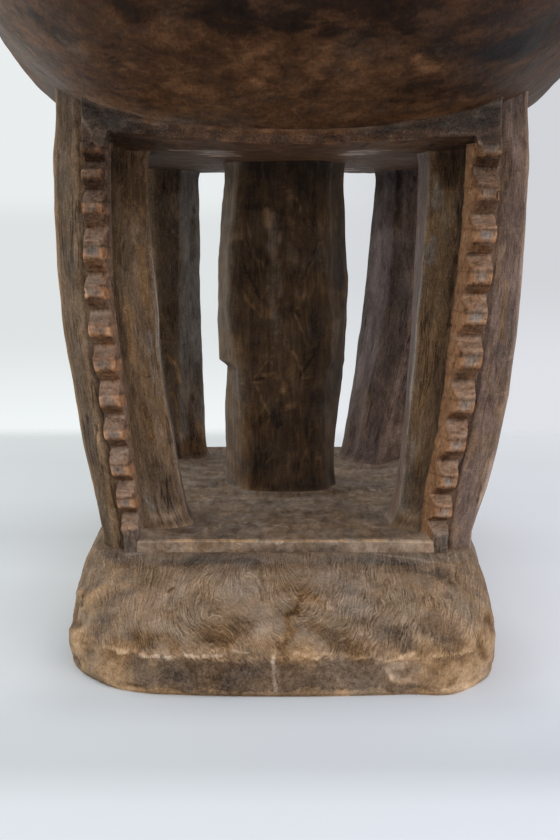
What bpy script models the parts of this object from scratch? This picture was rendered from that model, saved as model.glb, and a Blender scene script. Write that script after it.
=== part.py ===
"""Asante stool carved from one log, modelled as its carved members.

A sloping base slab carries a low deck, four bowed corner legs with notched
rails, and a faceted centre column. A ceiling plate on the legs carries the
crescent seat. Lengths are in metres: X runs across the stool, Y along the
seat, and Z up, with the origin at the centre of the base's underside.
"""
import bpy
import bmesh
import numpy as np

# Clearances between neighbouring members, and the overrun of every cutter
GAP = 0.0003
OVERRUN = 0.004

# Base slab: its top carries the feet, its shoulder slopes down to a thick rim
BASE_TOP = 0.0455
BASE_SIDE_LEDGE = 0.0012
BASE_END_LEDGE = 0.0030
BASE_TOP_CORNER = 0.020
BASE_END_RUN = 0.0565
BASE_SIDE_RUN = 0.0040
BASE_RIM_CORNER = 0.040
BASE_SIDE_BOW = 0.010
BASE_END_BOW = 0.010
BASE_LEFT_SHIFT = 0.0028
BASE_SMOOTH_DEGREES = 40

# Deck between the feet
DECK_THICKNESS = 0.0055

# Leg frame: overall length over the rails, and the clear height under the plate
FRAME_LENGTH = 0.292
CEILING_HEIGHT = 0.1805
LEG_SPREAD = 0.110
LEG_STRIP_WIDTH = 0.0044
LEG_STRIP_SETBACK = 0.008
LEG_CREST_SETBACK = 0.022
LEG_PANEL_START = 0.019
LEG_PANEL_END = 0.038
LEG_RIDGE_SETBACK = 0.062
LEG_HEEL_SETBACK = 0.076
LEG_HEEL_DROP = 0.006
LEG_HEEL_TURN_SHARE = 0.4
PANEL_FOOT_FLARE_SHARE = 0.25

# Notched rails on the outer ends of the legs
RAIL_DEPTH = 0.0145
RAIL_WIDTH = 0.0118
RAIL_FOOT_WIDTH = 0.0088
RAIL_FULL_WIDTH_SHARE = 0.5
TOOTH_DEPTH = 0.0080
TOOTH_CORNER = 0.0016
NOTCH_SIDE_CUT = 0.0015
NOTCH_TURN_SHARE = 0.25
NOTCH_TURN_DEPTH_SHARE = 0.85

# Centre column
COLUMN_WIDTH = 0.081
COLUMN_FRONT = 0.020
COLUMN_BACK = 0.025
COLUMN_CROWN = 0.0012
COLUMN_SIDE_FLAT = 0.0083

# Ceiling plate and the arched lower edge of its two end faces
PLATE_LEAST = 0.0045
LINTEL_LIFT = 0.0070
LINTEL_CHAMFER = 0.026
LINTEL_MIDDLE_SHARE = 0.15
LINTEL_ARCH_POWER = 1.4

# Crescent seat: keel line and side line of its belly, and its dished top, each
# given by its height over the ceiling in the middle and its rise to the ends.
# The keel's line dips below the ceiling there, and the plate lies flat across it.
SEAT_LENGTH = 0.550
SEAT_WIDTH = 0.280
SEAT_END_NARROWING = 0.008
SEAT_END_CORNER = 0.024
KEEL_DIP = 0.0028
KEEL_RISE = 0.0655
FLANK_LIFT = 0.0437
FLANK_RISE = 0.0480
FLANK_LEAN = 0.0045
SEAT_EDGE_THICKNESS = 0.0140
SEAT_EDGE_BULGE = 0.0025
TOP_LIFT = 0.0452
TOP_RISE = 0.0530
SEAT_SMOOTH_DEGREES = 50

# Powers of the crescent lines and shares that shape the belly's section
KEEL_POWER = 3.0
FLANK_POWER = 1.7
TOP_POWER = 2.0
BELLY_ROUND_SHARE = 0.45
BELLY_ROUND_POWER = 2.0
BELLY_FLARE_POWER = 6.5

# Heights up a leg, as shares of its height, at which its edges are given
STATION_SHARES = (0.0, 0.12, 0.25, 0.40, 0.60, 0.80, 1.0)

# Each leg's edges, as shares of the leg spread at those heights. The signs say
# which corner the leg stands in: across, then along.
LEGS = {
    "front_left_leg": {
        "side": -1,
        "end": -1,
        "crest_shares": (0.798, 0.838, 0.880, 0.923, 0.977, 0.989, 0.997),
        "rail_shares": (0.703, 0.733, 0.770, 0.804, 0.845, 0.853, 0.854),
        "panel_shares": (0.453, 0.478, 0.511, 0.555, 0.573, 0.600, 0.612),
        "ridge_shares": (0.470, 0.497, 0.530, 0.572, 0.598, 0.625, 0.636),
    },
    "front_right_leg": {
        "side": 1,
        "end": -1,
        "crest_shares": (0.785, 0.848, 0.900, 0.946, 0.984, 1.003, 1.012),
        "rail_shares": (0.675, 0.702, 0.747, 0.792, 0.830, 0.860, 0.875),
        "panel_shares": (0.480, 0.507, 0.525, 0.545, 0.567, 0.595, 0.612),
        "ridge_shares": (0.473, 0.498, 0.525, 0.545, 0.561, 0.573, 0.584),
    },
    "back_left_leg": {
        "side": -1,
        "end": 1,
        "crest_shares": (0.798, 0.842, 0.885, 0.930, 0.975, 0.990, 1.000),
        "rail_shares": (0.690, 0.720, 0.760, 0.800, 0.838, 0.856, 0.862),
        "panel_shares": (0.473, 0.477, 0.485, 0.491, 0.498, 0.497, 0.502),
        "ridge_shares": (0.616, 0.615, 0.614, 0.611, 0.607, 0.604, 0.601),
    },
    "back_right_leg": {
        "side": 1,
        "end": 1,
        "crest_shares": (0.798, 0.850, 0.895, 0.938, 0.980, 0.995, 1.004),
        "rail_shares": (0.682, 0.710, 0.752, 0.796, 0.834, 0.858, 0.868),
        "panel_shares": (0.314, 0.345, 0.377, 0.409, 0.445, 0.477, 0.505),
        "ridge_shares": (0.386, 0.418, 0.457, 0.509, 0.568, 0.591, 0.605),
    },
}

# Notches of the two rail patterns, from the top down: the lower edge of the
# tooth above, the root, and the upper edge of the tooth below, as shares of
# the rail's height
ELEVEN_NOTCH_SHARES = (
    (0.990, 0.966, 0.944), (0.927, 0.899, 0.863), (0.846, 0.806, 0.776),
    (0.737, 0.695, 0.662), (0.640, 0.605, 0.569), (0.547, 0.520, 0.485),
    (0.460, 0.430, 0.392), (0.371, 0.343, 0.309), (0.288, 0.263, 0.225),
    (0.197, 0.176, 0.142), (0.114, 0.094, 0.060),
)
TEN_NOTCH_SHARES = (
    (0.984, 0.951, 0.911), (0.879, 0.840, 0.807), (0.778, 0.741, 0.708),
    (0.676, 0.645, 0.608), (0.576, 0.541, 0.505), (0.470, 0.429, 0.392),
    (0.358, 0.331, 0.293), (0.260, 0.229, 0.197), (0.167, 0.142, 0.118),
    (0.091, 0.073, 0.047),
)
RAILS = {
    "front_left_rail": ("front_left_leg", ELEVEN_NOTCH_SHARES),
    "front_right_rail": ("front_right_leg", TEN_NOTCH_SHARES),
    "back_left_rail": ("back_left_leg", TEN_NOTCH_SHARES),
    "back_right_rail": ("back_right_leg", ELEVEN_NOTCH_SHARES),
}

# Column section edges at each height, as shares of half the column's width
COLUMN_STATION_SHARES = (0.0, 0.10, 0.25, 0.375, 0.395, 0.52, 0.65, 0.78, 0.90, 1.0)
COLUMN_LEFT_SHARES = (0.872, 0.88, 0.875, 0.85, 0.975, 1.0, 0.98, 0.935, 0.885, 0.865)
COLUMN_RIGHT_SHARES = (0.654, 0.675, 0.715, 0.765, 0.79, 0.825, 0.82, 0.79, 0.765, 0.77)
COLUMN_FACET_LEFT_SHARES = (0.59, 0.60, 0.63, 0.665, 0.70, 0.785, 0.795, 0.765, 0.69, 0.64)
COLUMN_FACET_RIGHT_SHARES = (0.54, 0.49, 0.47, 0.53, 0.56, 0.60, 0.545, 0.54, 0.53, 0.535)

# Base slab section: height, and how far the side and the end reach out there
BASE_HEIGHT_SHARES = (0.0, 0.06, 0.26, 0.36, 0.48, 0.64, 0.79, 0.90, 0.97, 1.0)
BASE_SIDE_SHARES = (0.80, 0.96, 1.0, 1.0, 0.98, 0.88, 0.66, 0.38, 0.13, 0.0)
BASE_END_SHARES = (0.975, 1.0, 1.0, 0.98, 0.87, 0.67, 0.44, 0.23, 0.08, 0.0)

# Mesh fineness
LEG_RINGS = 15
SEAT_ACROSS = 20
SEAT_ALONG_SHARES = (
    0.0, 0.09, 0.18, 0.27, 0.36, 0.44, 0.52, 0.60, 0.68, 0.76, 0.84, 0.90, 0.94, 0.97, 0.99, 1.0,
)
CORNER_STEPS = 6
SIDE_STEPS = 8
ARCH_STEPS = 12

DECK_TOP = BASE_TOP + GAP + DECK_THICKNESS
CEILING = DECK_TOP + CEILING_HEIGHT
FRAME_END = FRAME_LENGTH / 2

# Woods: linear colour, roughness
WOODS = {
    "dark_seat_wood": ((0.125, 0.072, 0.048), 0.48),
    "grey_brown_wood": ((0.175, 0.130, 0.100), 0.62),
    "worn_rail_wood": ((0.255, 0.175, 0.120), 0.58),
    "sooty_column_wood": ((0.090, 0.062, 0.046), 0.55),
    "end_grain_wood": ((0.215, 0.160, 0.120), 0.68),
}


def clear_objects():
    """Remove what the scene holds before the stool is built."""
    for thing in list(bpy.data.objects):
        bpy.data.objects.remove(thing, do_unlink=True)


def wood(name):
    """The Principled material of one tone of the wood."""
    if name in bpy.data.materials:
        return bpy.data.materials[name]
    colour, roughness = WOODS[name]
    material = bpy.data.materials.new(name)
    material.use_nodes = True
    shader = material.node_tree.nodes["Principled BSDF"]
    shader.inputs["Base Color"].default_value = (*colour, 1.0)
    shader.inputs["Roughness"].default_value = roughness
    shader.inputs["Metallic"].default_value = 0.0
    return material


def curve_through(places, values, at):
    """Smooth curve through values given at places, read at other places."""
    places = np.asarray(places, float)
    values = np.asarray(values, float)
    slopes = np.gradient(values, places)
    first = np.clip(np.searchsorted(places, at, side="right") - 1, 0, len(places) - 2)
    span = places[first + 1] - places[first]
    t = (np.asarray(at, float) - places[first]) / span
    start = (1 + 2 * t) * (1 - t) ** 2 * values[first] + t * (1 - t) ** 2 * span * slopes[first]
    finish = t ** 2 * (3 - 2 * t) * values[first + 1] + t ** 2 * (t - 1) * span * slopes[first + 1]
    return start + finish


def skin(name, rings, finish, smooth_angle=None):
    """Join closed rings of equal count into one solid with two end faces."""
    rings = np.asarray(rings, float)
    count = rings.shape[1]
    mesh = bpy.data.meshes.new(name)
    build = bmesh.new()
    rows = [[build.verts.new(point) for point in ring] for ring in rings]
    for lower, upper in zip(rows[:-1], rows[1:]):
        for i in range(count):
            j = (i + 1) % count
            build.faces.new((lower[i], lower[j], upper[j], upper[i]))
    build.faces.new(list(reversed(rows[0])))
    build.faces.new(rows[-1])
    bmesh.ops.recalc_face_normals(build, faces=build.faces[:])
    build.to_mesh(mesh)
    build.free()
    if smooth_angle is not None:
        mesh.shade_smooth()
        mesh.set_sharp_from_angle(angle=np.radians(smooth_angle))
    mesh.materials.append(wood(finish))
    solid = bpy.data.objects.new(name, mesh)
    bpy.context.scene.collection.objects.link(solid)
    return solid


def level(outline, height):
    """Lift a flat outline to a height."""
    outline = np.asarray(outline, float)
    return np.column_stack([outline, np.full(len(outline), height)])


def rounded_outline(half_width, half_length, corner, side_bow, end_bow):
    """Rectangle with round corners whose sides and ends bow outwards."""
    points = []
    for quarter in range(4):
        sign_x = 1 if quarter in (0, 3) else -1
        sign_y = 1 if quarter in (0, 1) else -1
        centre = np.array([sign_x * (half_width - corner), sign_y * (half_length - corner)])
        turns = np.radians(90 * quarter + np.linspace(0, 90, CORNER_STEPS + 1))
        arc = centre + corner * np.column_stack([np.cos(turns), np.sin(turns)])
        points.extend(arc)
        following = (quarter + 1) % 4
        next_x = 1 if following in (0, 3) else -1
        next_y = 1 if following in (0, 1) else -1
        reach = np.array([np.cos(turns[-1]), np.sin(turns[-1])])
        target = np.array([next_x * (half_width - corner), next_y * (half_length - corner)])
        target = target + corner * reach
        for step in range(1, SIDE_STEPS):
            points.append(arc[-1] + (target - arc[-1]) * step / SIDE_STEPS)
    points = np.array(points)
    across = points[:, 0] / half_width
    along = points[:, 1] / half_length
    points[:, 0] += side_bow * (1 - along ** 2) * across
    points[:, 1] += end_bow * (1 - across ** 2) * along
    return points


def inset(outline, distance):
    """Move every edge of a flat closed outline inwards by a distance."""
    outline = np.asarray(outline, float)
    ahead = np.roll(outline, -1, axis=0) - outline
    ahead = ahead / np.linalg.norm(ahead, axis=1)[:, None]
    inward = np.column_stack([-ahead[:, 1], ahead[:, 0]])
    area = np.sum(outline[:, 0] * np.roll(outline[:, 1], -1))
    area -= np.sum(outline[:, 1] * np.roll(outline[:, 0], -1))
    inward = inward * np.sign(area)
    before = np.roll(inward, 1, axis=0)
    share = 1 + np.sum(before * inward, axis=1)
    return outline + distance * (before + inward) / share[:, None]


def leg_edges(leg, share):
    """Distances of a leg's edges from the stool's middle at a share of its height."""
    edges = {}
    for edge in ("crest", "rail", "panel", "ridge"):
        table = leg[edge + "_shares"]
        edges[edge] = LEG_SPREAD * curve_through(STATION_SHARES, table, share)
    spread = np.minimum(1, share / RAIL_FULL_WIDTH_SHARE)
    width = RAIL_FOOT_WIDTH + (RAIL_WIDTH - RAIL_FOOT_WIDTH) * spread
    edges["rail_inner"] = edges["rail"] - width
    edges["panel_outer"] = edges["rail_inner"] - PANEL_FOOT_FLARE_SHARE * width * (1 - share)
    return edges


def leg_inner_side(leg, share):
    """Plan of the side of a leg that faces the stool's middle, from its end backwards."""
    edges = leg_edges(leg, share)
    back = edges["crest"] - LEG_STRIP_SETBACK
    turn = edges["ridge"] + LEG_HEEL_TURN_SHARE * (back - edges["ridge"])
    return [
        (edges["rail_inner"], FRAME_END - RAIL_DEPTH),
        (edges["panel_outer"], FRAME_END - LEG_PANEL_START),
        (edges["panel"], FRAME_END - LEG_PANEL_END),
        (edges["ridge"], FRAME_END - LEG_RIDGE_SETBACK),
        (turn, FRAME_END - LEG_HEEL_SETBACK),
        (back, FRAME_END - LEG_HEEL_SETBACK + LEG_HEEL_DROP),
    ]


def leg_section(leg, share):
    """Plan section of a leg behind its rail."""
    edges = leg_edges(leg, share)
    strip = edges["rail"] + GAP
    plan = leg_inner_side(leg, share) + [
        (edges["crest"], FRAME_END - LEG_CREST_SETBACK - LEG_STRIP_SETBACK),
        (edges["crest"], FRAME_END - LEG_CREST_SETBACK),
        (strip + LEG_STRIP_WIDTH, FRAME_END - LEG_STRIP_SETBACK - NOTCH_SIDE_CUT),
        (strip, FRAME_END - LEG_STRIP_SETBACK),
        (strip, FRAME_END - RAIL_DEPTH),
    ]
    return np.array([(leg["side"] * x, leg["end"] * y) for x, y in plan])


def make_leg(name):
    """A bowed corner leg: an upright foot through the deck, then lofted sections."""
    leg = LEGS[name]
    shares = np.linspace(0, 1, LEG_RINGS)
    rings = [level(leg_section(leg, 0), BASE_TOP + GAP)]
    for share in shares:
        height = DECK_TOP + share * (CEILING_HEIGHT - GAP)
        rings.append(level(leg_section(leg, share), height))
    return skin(name, rings, "grey_brown_wood")


def rail_ring(leg, share, height, notch):
    """Plan section of a rail, with its face cut back by the notch depth."""
    edges = leg_edges(leg, share)
    face = FRAME_END - notch
    cut = NOTCH_SIDE_CUT * notch / TOOTH_DEPTH
    outer = edges["rail"] - cut
    plan = [
        (edges["rail_inner"], FRAME_END - RAIL_DEPTH + GAP),
        (edges["rail_inner"], face - TOOTH_CORNER),
        (edges["rail_inner"] + TOOTH_CORNER, face),
        (outer - TOOTH_CORNER, face),
        (outer, face - TOOTH_CORNER),
        (edges["rail"], face - TOOTH_CORNER - NOTCH_SIDE_CUT),
        (edges["rail"], FRAME_END - RAIL_DEPTH + GAP),
    ]
    return [(leg["side"] * x, leg["end"] * y, height) for x, y in plan]


def make_rail(name):
    """A rail cut into teeth: each notch runs from a tooth's edge to its root and out again."""
    leg_name, notches = RAILS[name]
    leg = LEGS[leg_name]
    foot = BASE_TOP + GAP
    reach = CEILING - GAP - foot
    stops = [(0.0, 0.0), ((DECK_TOP - foot) / reach, 0.0)]
    for tooth_above, root, tooth_below in reversed(notches):
        stops.append((tooth_below, 0.0))
        turn = root + NOTCH_TURN_SHARE * (tooth_below - root)
        stops.append((turn, NOTCH_TURN_DEPTH_SHARE))
        stops.append((root, 1.0))
        stops.append((tooth_above, 0.0))
    stops.append((1.0, 0.0))
    rings = []
    for share, depth in stops:
        height = foot + share * reach
        up_leg = max(0.0, (height - DECK_TOP) / (CEILING_HEIGHT - GAP))
        rings.append(rail_ring(leg, up_leg, height, depth * TOOTH_DEPTH))
    return skin(name, rings, "worn_rail_wood")


def make_base():
    """The base slab, its rim rounded under and its shoulder rising to the feet."""
    rings = []
    half_length = FRAME_END + BASE_END_LEDGE
    half_width = max(leg_edges(leg, 0)["crest"] for leg in LEGS.values()) + BASE_SIDE_LEDGE
    for height, side, end in zip(BASE_HEIGHT_SHARES, BASE_SIDE_SHARES, BASE_END_SHARES):
        corner = BASE_TOP_CORNER + (BASE_RIM_CORNER - BASE_TOP_CORNER) * end
        outline = rounded_outline(
            half_width + BASE_SIDE_RUN * side,
            half_length + BASE_END_RUN * end,
            corner,
            BASE_SIDE_BOW * side,
            BASE_END_BOW * end,
        )
        outline = outline - np.array([BASE_LEFT_SHIFT, 0])
        rings.append(level(outline, BASE_TOP * height))
    return skin("base_slab", rings, "end_grain_wood", BASE_SMOOTH_DEGREES)


def make_deck():
    """The low deck, whose corners are cut round the four feet."""
    corners = ("front_right_leg", "back_right_leg", "back_left_leg", "front_left_leg")
    outline = []
    for turn, name in enumerate(corners):
        leg = LEGS[name]
        inner_face = leg_edges(leg, 0)["rail_inner"]
        side = [(inner_face, FRAME_END)] + leg_inner_side(leg, 0)
        side = [(leg["side"] * x, leg["end"] * y) for x, y in side]
        outline.extend(side if turn % 2 == 0 else reversed(side))
    outline = inset(outline, GAP)
    rings = [level(outline, BASE_TOP + GAP), level(outline, DECK_TOP)]
    return skin("deck", rings, "grey_brown_wood")


def make_column():
    """The faceted column, with the step that breaks its left side."""
    half = COLUMN_WIDTH / 2
    height = CEILING_HEIGHT - 2 * GAP
    rings = []
    rows = zip(
        COLUMN_STATION_SHARES, COLUMN_LEFT_SHARES, COLUMN_RIGHT_SHARES,
        COLUMN_FACET_LEFT_SHARES, COLUMN_FACET_RIGHT_SHARES,
    )
    for share, left, right, facet_left, facet_right in rows:
        plan = [
            (-half * left, COLUMN_SIDE_FLAT),
            (-half * left, 0),
            (-half * facet_left, -COLUMN_FRONT),
            (half * (facet_right - facet_left) / 2, -COLUMN_FRONT - COLUMN_CROWN),
            (half * facet_right, -COLUMN_FRONT),
            (half * right, 0),
            (half * right, COLUMN_SIDE_FLAT),
            (half * facet_right, COLUMN_BACK),
            (half * (facet_right - facet_left) / 2, COLUMN_BACK + COLUMN_CROWN),
            (-half * facet_left, COLUMN_BACK),
        ]
        rings.append(level(plan, DECK_TOP + GAP + share * height))
    return skin("centre_column", rings, "sooty_column_wood")


def seat_flank(x, y, half_width):
    """Height of the belly's side line, which leans up to the left."""
    along = np.abs(y) / (SEAT_LENGTH / 2)
    lean = FLANK_LEAN * x / half_width
    return CEILING + FLANK_LIFT + FLANK_RISE * along ** FLANK_POWER - lean


def seat_belly(x, y, half_width):
    """Height of the seat's belly, flattened where the ceiling plate lies."""
    along = np.abs(y) / (SEAT_LENGTH / 2)
    across = np.abs(x) / half_width
    keel = CEILING - KEEL_DIP + KEEL_RISE * along ** KEEL_POWER
    flank = seat_flank(x, y, half_width)
    roundness = BELLY_ROUND_SHARE * across ** BELLY_ROUND_POWER
    roundness = roundness + (1 - BELLY_ROUND_SHARE) * across ** BELLY_FLARE_POWER
    return np.maximum(keel + (flank - keel) * roundness, CEILING + PLATE_LEAST)


def seat_top(x, y, half_width):
    """Height of the dished top of the seat."""
    along = np.abs(y) / (SEAT_LENGTH / 2)
    across = np.abs(x) / half_width
    middle = CEILING + TOP_LIFT + TOP_RISE * along ** TOP_POWER
    edge = seat_flank(x, y, half_width) + SEAT_EDGE_THICKNESS
    return middle + (edge - middle) * across ** 2


def seat_half_width(y):
    """Half the seat's width, narrowing to its ends and round at their corners."""
    half_length = SEAT_LENGTH / 2
    along = abs(y) / half_length
    width = SEAT_WIDTH / 2 - SEAT_END_NARROWING * along ** 2
    into_corner = max(0.0, abs(y) - half_length + SEAT_END_CORNER)
    rest = max(0.0, SEAT_END_CORNER ** 2 - into_corner ** 2)
    return width - SEAT_END_CORNER + rest ** 0.5


def seat_rings(drop):
    """Cross sections of the seat from end to end, lowered by a clearance."""
    places = [-share for share in reversed(SEAT_ALONG_SHARES[1:])] + list(SEAT_ALONG_SHARES)
    spread = np.sin(np.linspace(-1, 1, SEAT_ACROSS + 1) * np.pi / 2)
    rings = []
    for share in places:
        y = share * SEAT_LENGTH / 2
        half = seat_half_width(y)
        below = half * spread
        above = half * spread[::-2]
        low = seat_belly(below, y, half)
        high = seat_top(above, y, half)
        bulge = half + SEAT_EDGE_BULGE
        middle = (low[-1] + high[0]) / 2
        ring = [(x, y, z) for x, z in zip(below, low)]
        ring.append((bulge, y, middle))
        ring.extend((x, y, z) for x, z in zip(above, high))
        ring.append((-bulge, y, middle))
        rings.append(ring)
    return np.array(rings) - np.array([0, 0, drop])


def make_seat():
    """The crescent seat with its boat-shaped belly."""
    return skin("seat", seat_rings(0), "dark_seat_wood", SEAT_SMOOTH_DEGREES)


def plate_outline():
    """Plan of the ceiling plate: over the rails, and flush with the legs' crests."""
    outline = []
    corners = ("front_right_leg", "back_right_leg", "back_left_leg", "front_left_leg")
    for turn, name in enumerate(corners):
        leg = LEGS[name]
        edges = leg_edges(leg, 1)
        side = [
            (edges["rail"], FRAME_END),
            (edges["rail"], FRAME_END - LEG_STRIP_SETBACK),
            (edges["crest"], FRAME_END - LEG_CREST_SETBACK),
            (edges["crest"], FRAME_END - LEG_CREST_SETBACK - LEG_STRIP_SETBACK),
        ]
        side = [(leg["side"] * x, leg["end"] * y) for x, y in side]
        outline.extend(side if turn % 2 == 0 else reversed(side))
    return outline


def cutter(name, rings):
    """A solid that is only cut with, kept out of the model."""
    solid = skin(name, rings, "grey_brown_wood")
    solid.hide_render = True
    solid.display_type = "WIRE"
    return solid


def lintel_rings(end):
    """Wedge sections under one end of the plate, higher at the rails than in the middle."""
    inner = {}
    for leg in LEGS.values():
        if leg["end"] == end:
            inner[leg["side"]] = leg_edges(leg, 1)["rail_inner"] * leg["side"]
    rings = []
    for share in np.linspace(0, 1, ARCH_STEPS + 1):
        x = inner[-1] + (inner[1] - inner[-1]) * share
        arch = abs(2 * share - 1) ** LINTEL_ARCH_POWER
        lift = LINTEL_LIFT * (LINTEL_MIDDLE_SHARE + (1 - LINTEL_MIDDLE_SHARE) * arch)
        outer_lift = lift * (LINTEL_CHAMFER + OVERRUN) / LINTEL_CHAMFER
        rings.append([
            (x, end * (FRAME_END + OVERRUN), CEILING - OVERRUN),
            (x, end * (FRAME_END + OVERRUN), CEILING + outer_lift),
            (x, end * (FRAME_END - LINTEL_CHAMFER), CEILING),
            (x, end * (FRAME_END - LINTEL_CHAMFER), CEILING - OVERRUN),
        ])
    return rings


def make_plate():
    """The ceiling plate: its top follows the belly, its end faces are arched below."""
    outline = plate_outline()
    inside_seat = CEILING + TOP_LIFT - OVERRUN
    blank = [level(outline, CEILING), level(outline, inside_seat)]
    plate = skin("top_plate", blank, "grey_brown_wood")
    tools = [cutter("belly_cutter", seat_rings(GAP))]
    tools.append(cutter("front_lintel_cutter", lintel_rings(-1)))
    tools.append(cutter("back_lintel_cutter", lintel_rings(1)))
    for tool in tools:
        cut = plate.modifiers.new(tool.name, "BOOLEAN")
        cut.operation = "DIFFERENCE"
        cut.solver = "EXACT"
        cut.object = tool
    return plate


def build_stool():
    """Put the stool together from the ground up."""
    clear_objects()
    make_base()
    make_deck()
    for name in LEGS:
        make_leg(name)
    for name in RAILS:
        make_rail(name)
    make_column()
    make_plate()
    make_seat()


build_stool()
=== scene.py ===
"""Crescent-seat stool carved from one log: its worn surfaces and finishes.

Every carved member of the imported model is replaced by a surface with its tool
marks, worn edges, checks and patina. Lengths are in metres, with X across the
stool, Y along the seat and Z up.
"""

import bpy
import numpy as np
from mathutils import Euler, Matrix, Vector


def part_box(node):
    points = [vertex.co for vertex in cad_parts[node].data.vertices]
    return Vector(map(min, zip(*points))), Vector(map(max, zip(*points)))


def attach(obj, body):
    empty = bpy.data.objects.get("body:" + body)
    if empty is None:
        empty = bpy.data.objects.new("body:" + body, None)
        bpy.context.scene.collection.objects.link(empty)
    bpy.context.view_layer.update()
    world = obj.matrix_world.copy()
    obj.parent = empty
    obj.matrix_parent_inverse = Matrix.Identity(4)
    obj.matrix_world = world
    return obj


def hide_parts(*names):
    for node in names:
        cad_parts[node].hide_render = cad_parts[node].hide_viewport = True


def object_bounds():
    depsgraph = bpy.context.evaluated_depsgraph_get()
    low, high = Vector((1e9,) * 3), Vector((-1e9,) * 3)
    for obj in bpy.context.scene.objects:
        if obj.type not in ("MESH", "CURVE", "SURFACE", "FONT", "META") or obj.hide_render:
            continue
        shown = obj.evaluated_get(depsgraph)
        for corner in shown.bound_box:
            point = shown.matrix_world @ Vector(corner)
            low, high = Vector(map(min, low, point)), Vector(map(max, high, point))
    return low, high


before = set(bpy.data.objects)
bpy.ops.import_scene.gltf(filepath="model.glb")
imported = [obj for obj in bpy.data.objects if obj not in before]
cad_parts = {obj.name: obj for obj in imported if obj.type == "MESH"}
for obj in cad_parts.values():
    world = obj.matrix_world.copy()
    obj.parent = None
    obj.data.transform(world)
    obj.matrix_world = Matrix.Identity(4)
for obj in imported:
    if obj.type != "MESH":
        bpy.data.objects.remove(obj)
cad_low, cad_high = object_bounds()

# Base slab
# The foot of the stool, left thick by the adze, with end grain on the shoulder
# at each end. The log's heart runs out of the shoulder just under the deck, so
# the year rings lie round it there, and the long sides show long grain.

MM = 0.001
BASE_LOW, BASE_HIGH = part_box("base_slab")
BASE_TOP = BASE_HIGH.z
BASE_SHIFT = (BASE_LOW.x + BASE_HIGH.x) / 2
BASE_CORNER_TOP = 0.020
BASE_CORNER_RIM = 0.040
BASE_SIDE_BOW = 0.010
BASE_END_BOW = 0.010
BASE_SIDE_RUN = 0.0040
BASE_END_RUN = 0.0565
BASE_HALF_WIDTH = BASE_HIGH.x - BASE_SHIFT - BASE_SIDE_RUN - BASE_SIDE_BOW
BASE_HALF_LENGTH = BASE_HIGH.y - BASE_END_RUN - BASE_END_BOW
BASE_HEIGHT_SHARES = (0.0, 0.06, 0.26, 0.36, 0.48, 0.64, 0.79, 0.90, 0.97, 1.0)
BASE_SIDE_SHARES = (0.80, 0.96, 1.0, 1.0, 0.98, 0.88, 0.66, 0.38, 0.13, 0.0)
BASE_END_SHARES = (0.975, 1.0, 1.0, 0.98, 0.87, 0.67, 0.44, 0.23, 0.08, 0.0)
BASE_ROWS = 122
BASE_STEPS = (28, 180, 66)
RIM_WAVER = 0.0030
RIM_LINE = (0.0165, 0.0040)
FOOT_LINE = (0.0015, 0.0022)
HEART = (0.0055, 0.0, 0.0435)
RING_SPACING, RING_RUN = 0.00052, 0.0048


def fade(value, start, finish):
    """Smooth step: 0 up to start, 1 from finish on, and an S curve between."""
    share = np.clip((value - start) / (finish - start), 0, 1)
    return share * share * (3 - 2 * share)


def bell(value, middle, width, power=2):
    """1 at the middle, falling to 0 on both sides of it over about that width."""
    return np.exp(-((value - middle) / width) ** power)


def curve_through(places, values, at):
    """Smooth curve through values given at places, read at other places."""
    places = np.asarray(places, float)
    values = np.asarray(values, float)
    slopes = np.gradient(values, places)
    first = np.clip(np.searchsorted(places, at, side="right") - 1, 0, len(places) - 2)
    span = places[first + 1] - places[first]
    t = (np.asarray(at, float) - places[first]) / span
    start = (1 + 2 * t) * (1 - t) ** 2 * values[first] + t * (1 - t) ** 2 * span * slopes[first]
    finish = t ** 2 * (3 - 2 * t) * values[first + 1] + t ** 2 * (t - 1) * span * slopes[first + 1]
    return start + finish


def rough(points, size, seed, layers=2):
    """Smooth random heights from -1 to 1: random values at the corners of boxes
    of that size, blended across each box, plus layers of half the size and height."""
    values = np.random.default_rng(seed).uniform(-1, 1, (48, 48, 48))
    total, weight, whole = 0, 1.0, 0.0
    for layer in range(layers):
        place = points / np.broadcast_to(size, 3) * 2 ** layer + 24 + 5.7 * layer
        cell = np.floor(place).astype(int)
        t = place - cell
        t = t ** 3 * (t * (t * 6 - 15) + 10)
        for corner in np.ndindex(2, 2, 2):
            share = np.prod(np.where(corner, t, 1 - t), axis=-1)
            box = (cell + corner) % 48
            total = total + weight * share * values[box[..., 0], box[..., 1], box[..., 2]]
        whole += weight
        weight /= 2
    return total / whole


def scoops(points, size, seed):
    """Tool marks: squared distance to the nearest of random middles, one in each
    box of that size, so 0 in the middle of a cut and about 1 on the ridge between cuts."""
    spots = np.random.default_rng(seed).uniform(0.1, 0.9, (32, 32, 32, 3))
    place = points / np.broadcast_to(size, 3) + 16
    cell = np.floor(place).astype(int)
    nearest = np.ones(points.shape[:-1])
    for step in np.ndindex(3, 3, 3):
        box = cell + np.array(step) - 1
        middle = box + spots[box[..., 0] % 32, box[..., 1] % 32, box[..., 2] % 32]
        nearest = np.minimum(nearest, np.sum((place - middle) ** 2, axis=-1))
    return nearest


def outward(grid):
    """Unit normals of a grid of closed rings, pointing away from the rings' middles."""
    around = np.roll(grid, -1, axis=1) - np.roll(grid, 1, axis=1)
    normal = np.cross(around, np.gradient(grid, axis=0))
    normal /= np.maximum(np.linalg.norm(normal, axis=-1, keepdims=True), 1e-12)
    from_middle = grid - grid.mean(axis=1, keepdims=True)
    return normal * np.sign(np.sum(normal * from_middle))


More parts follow.
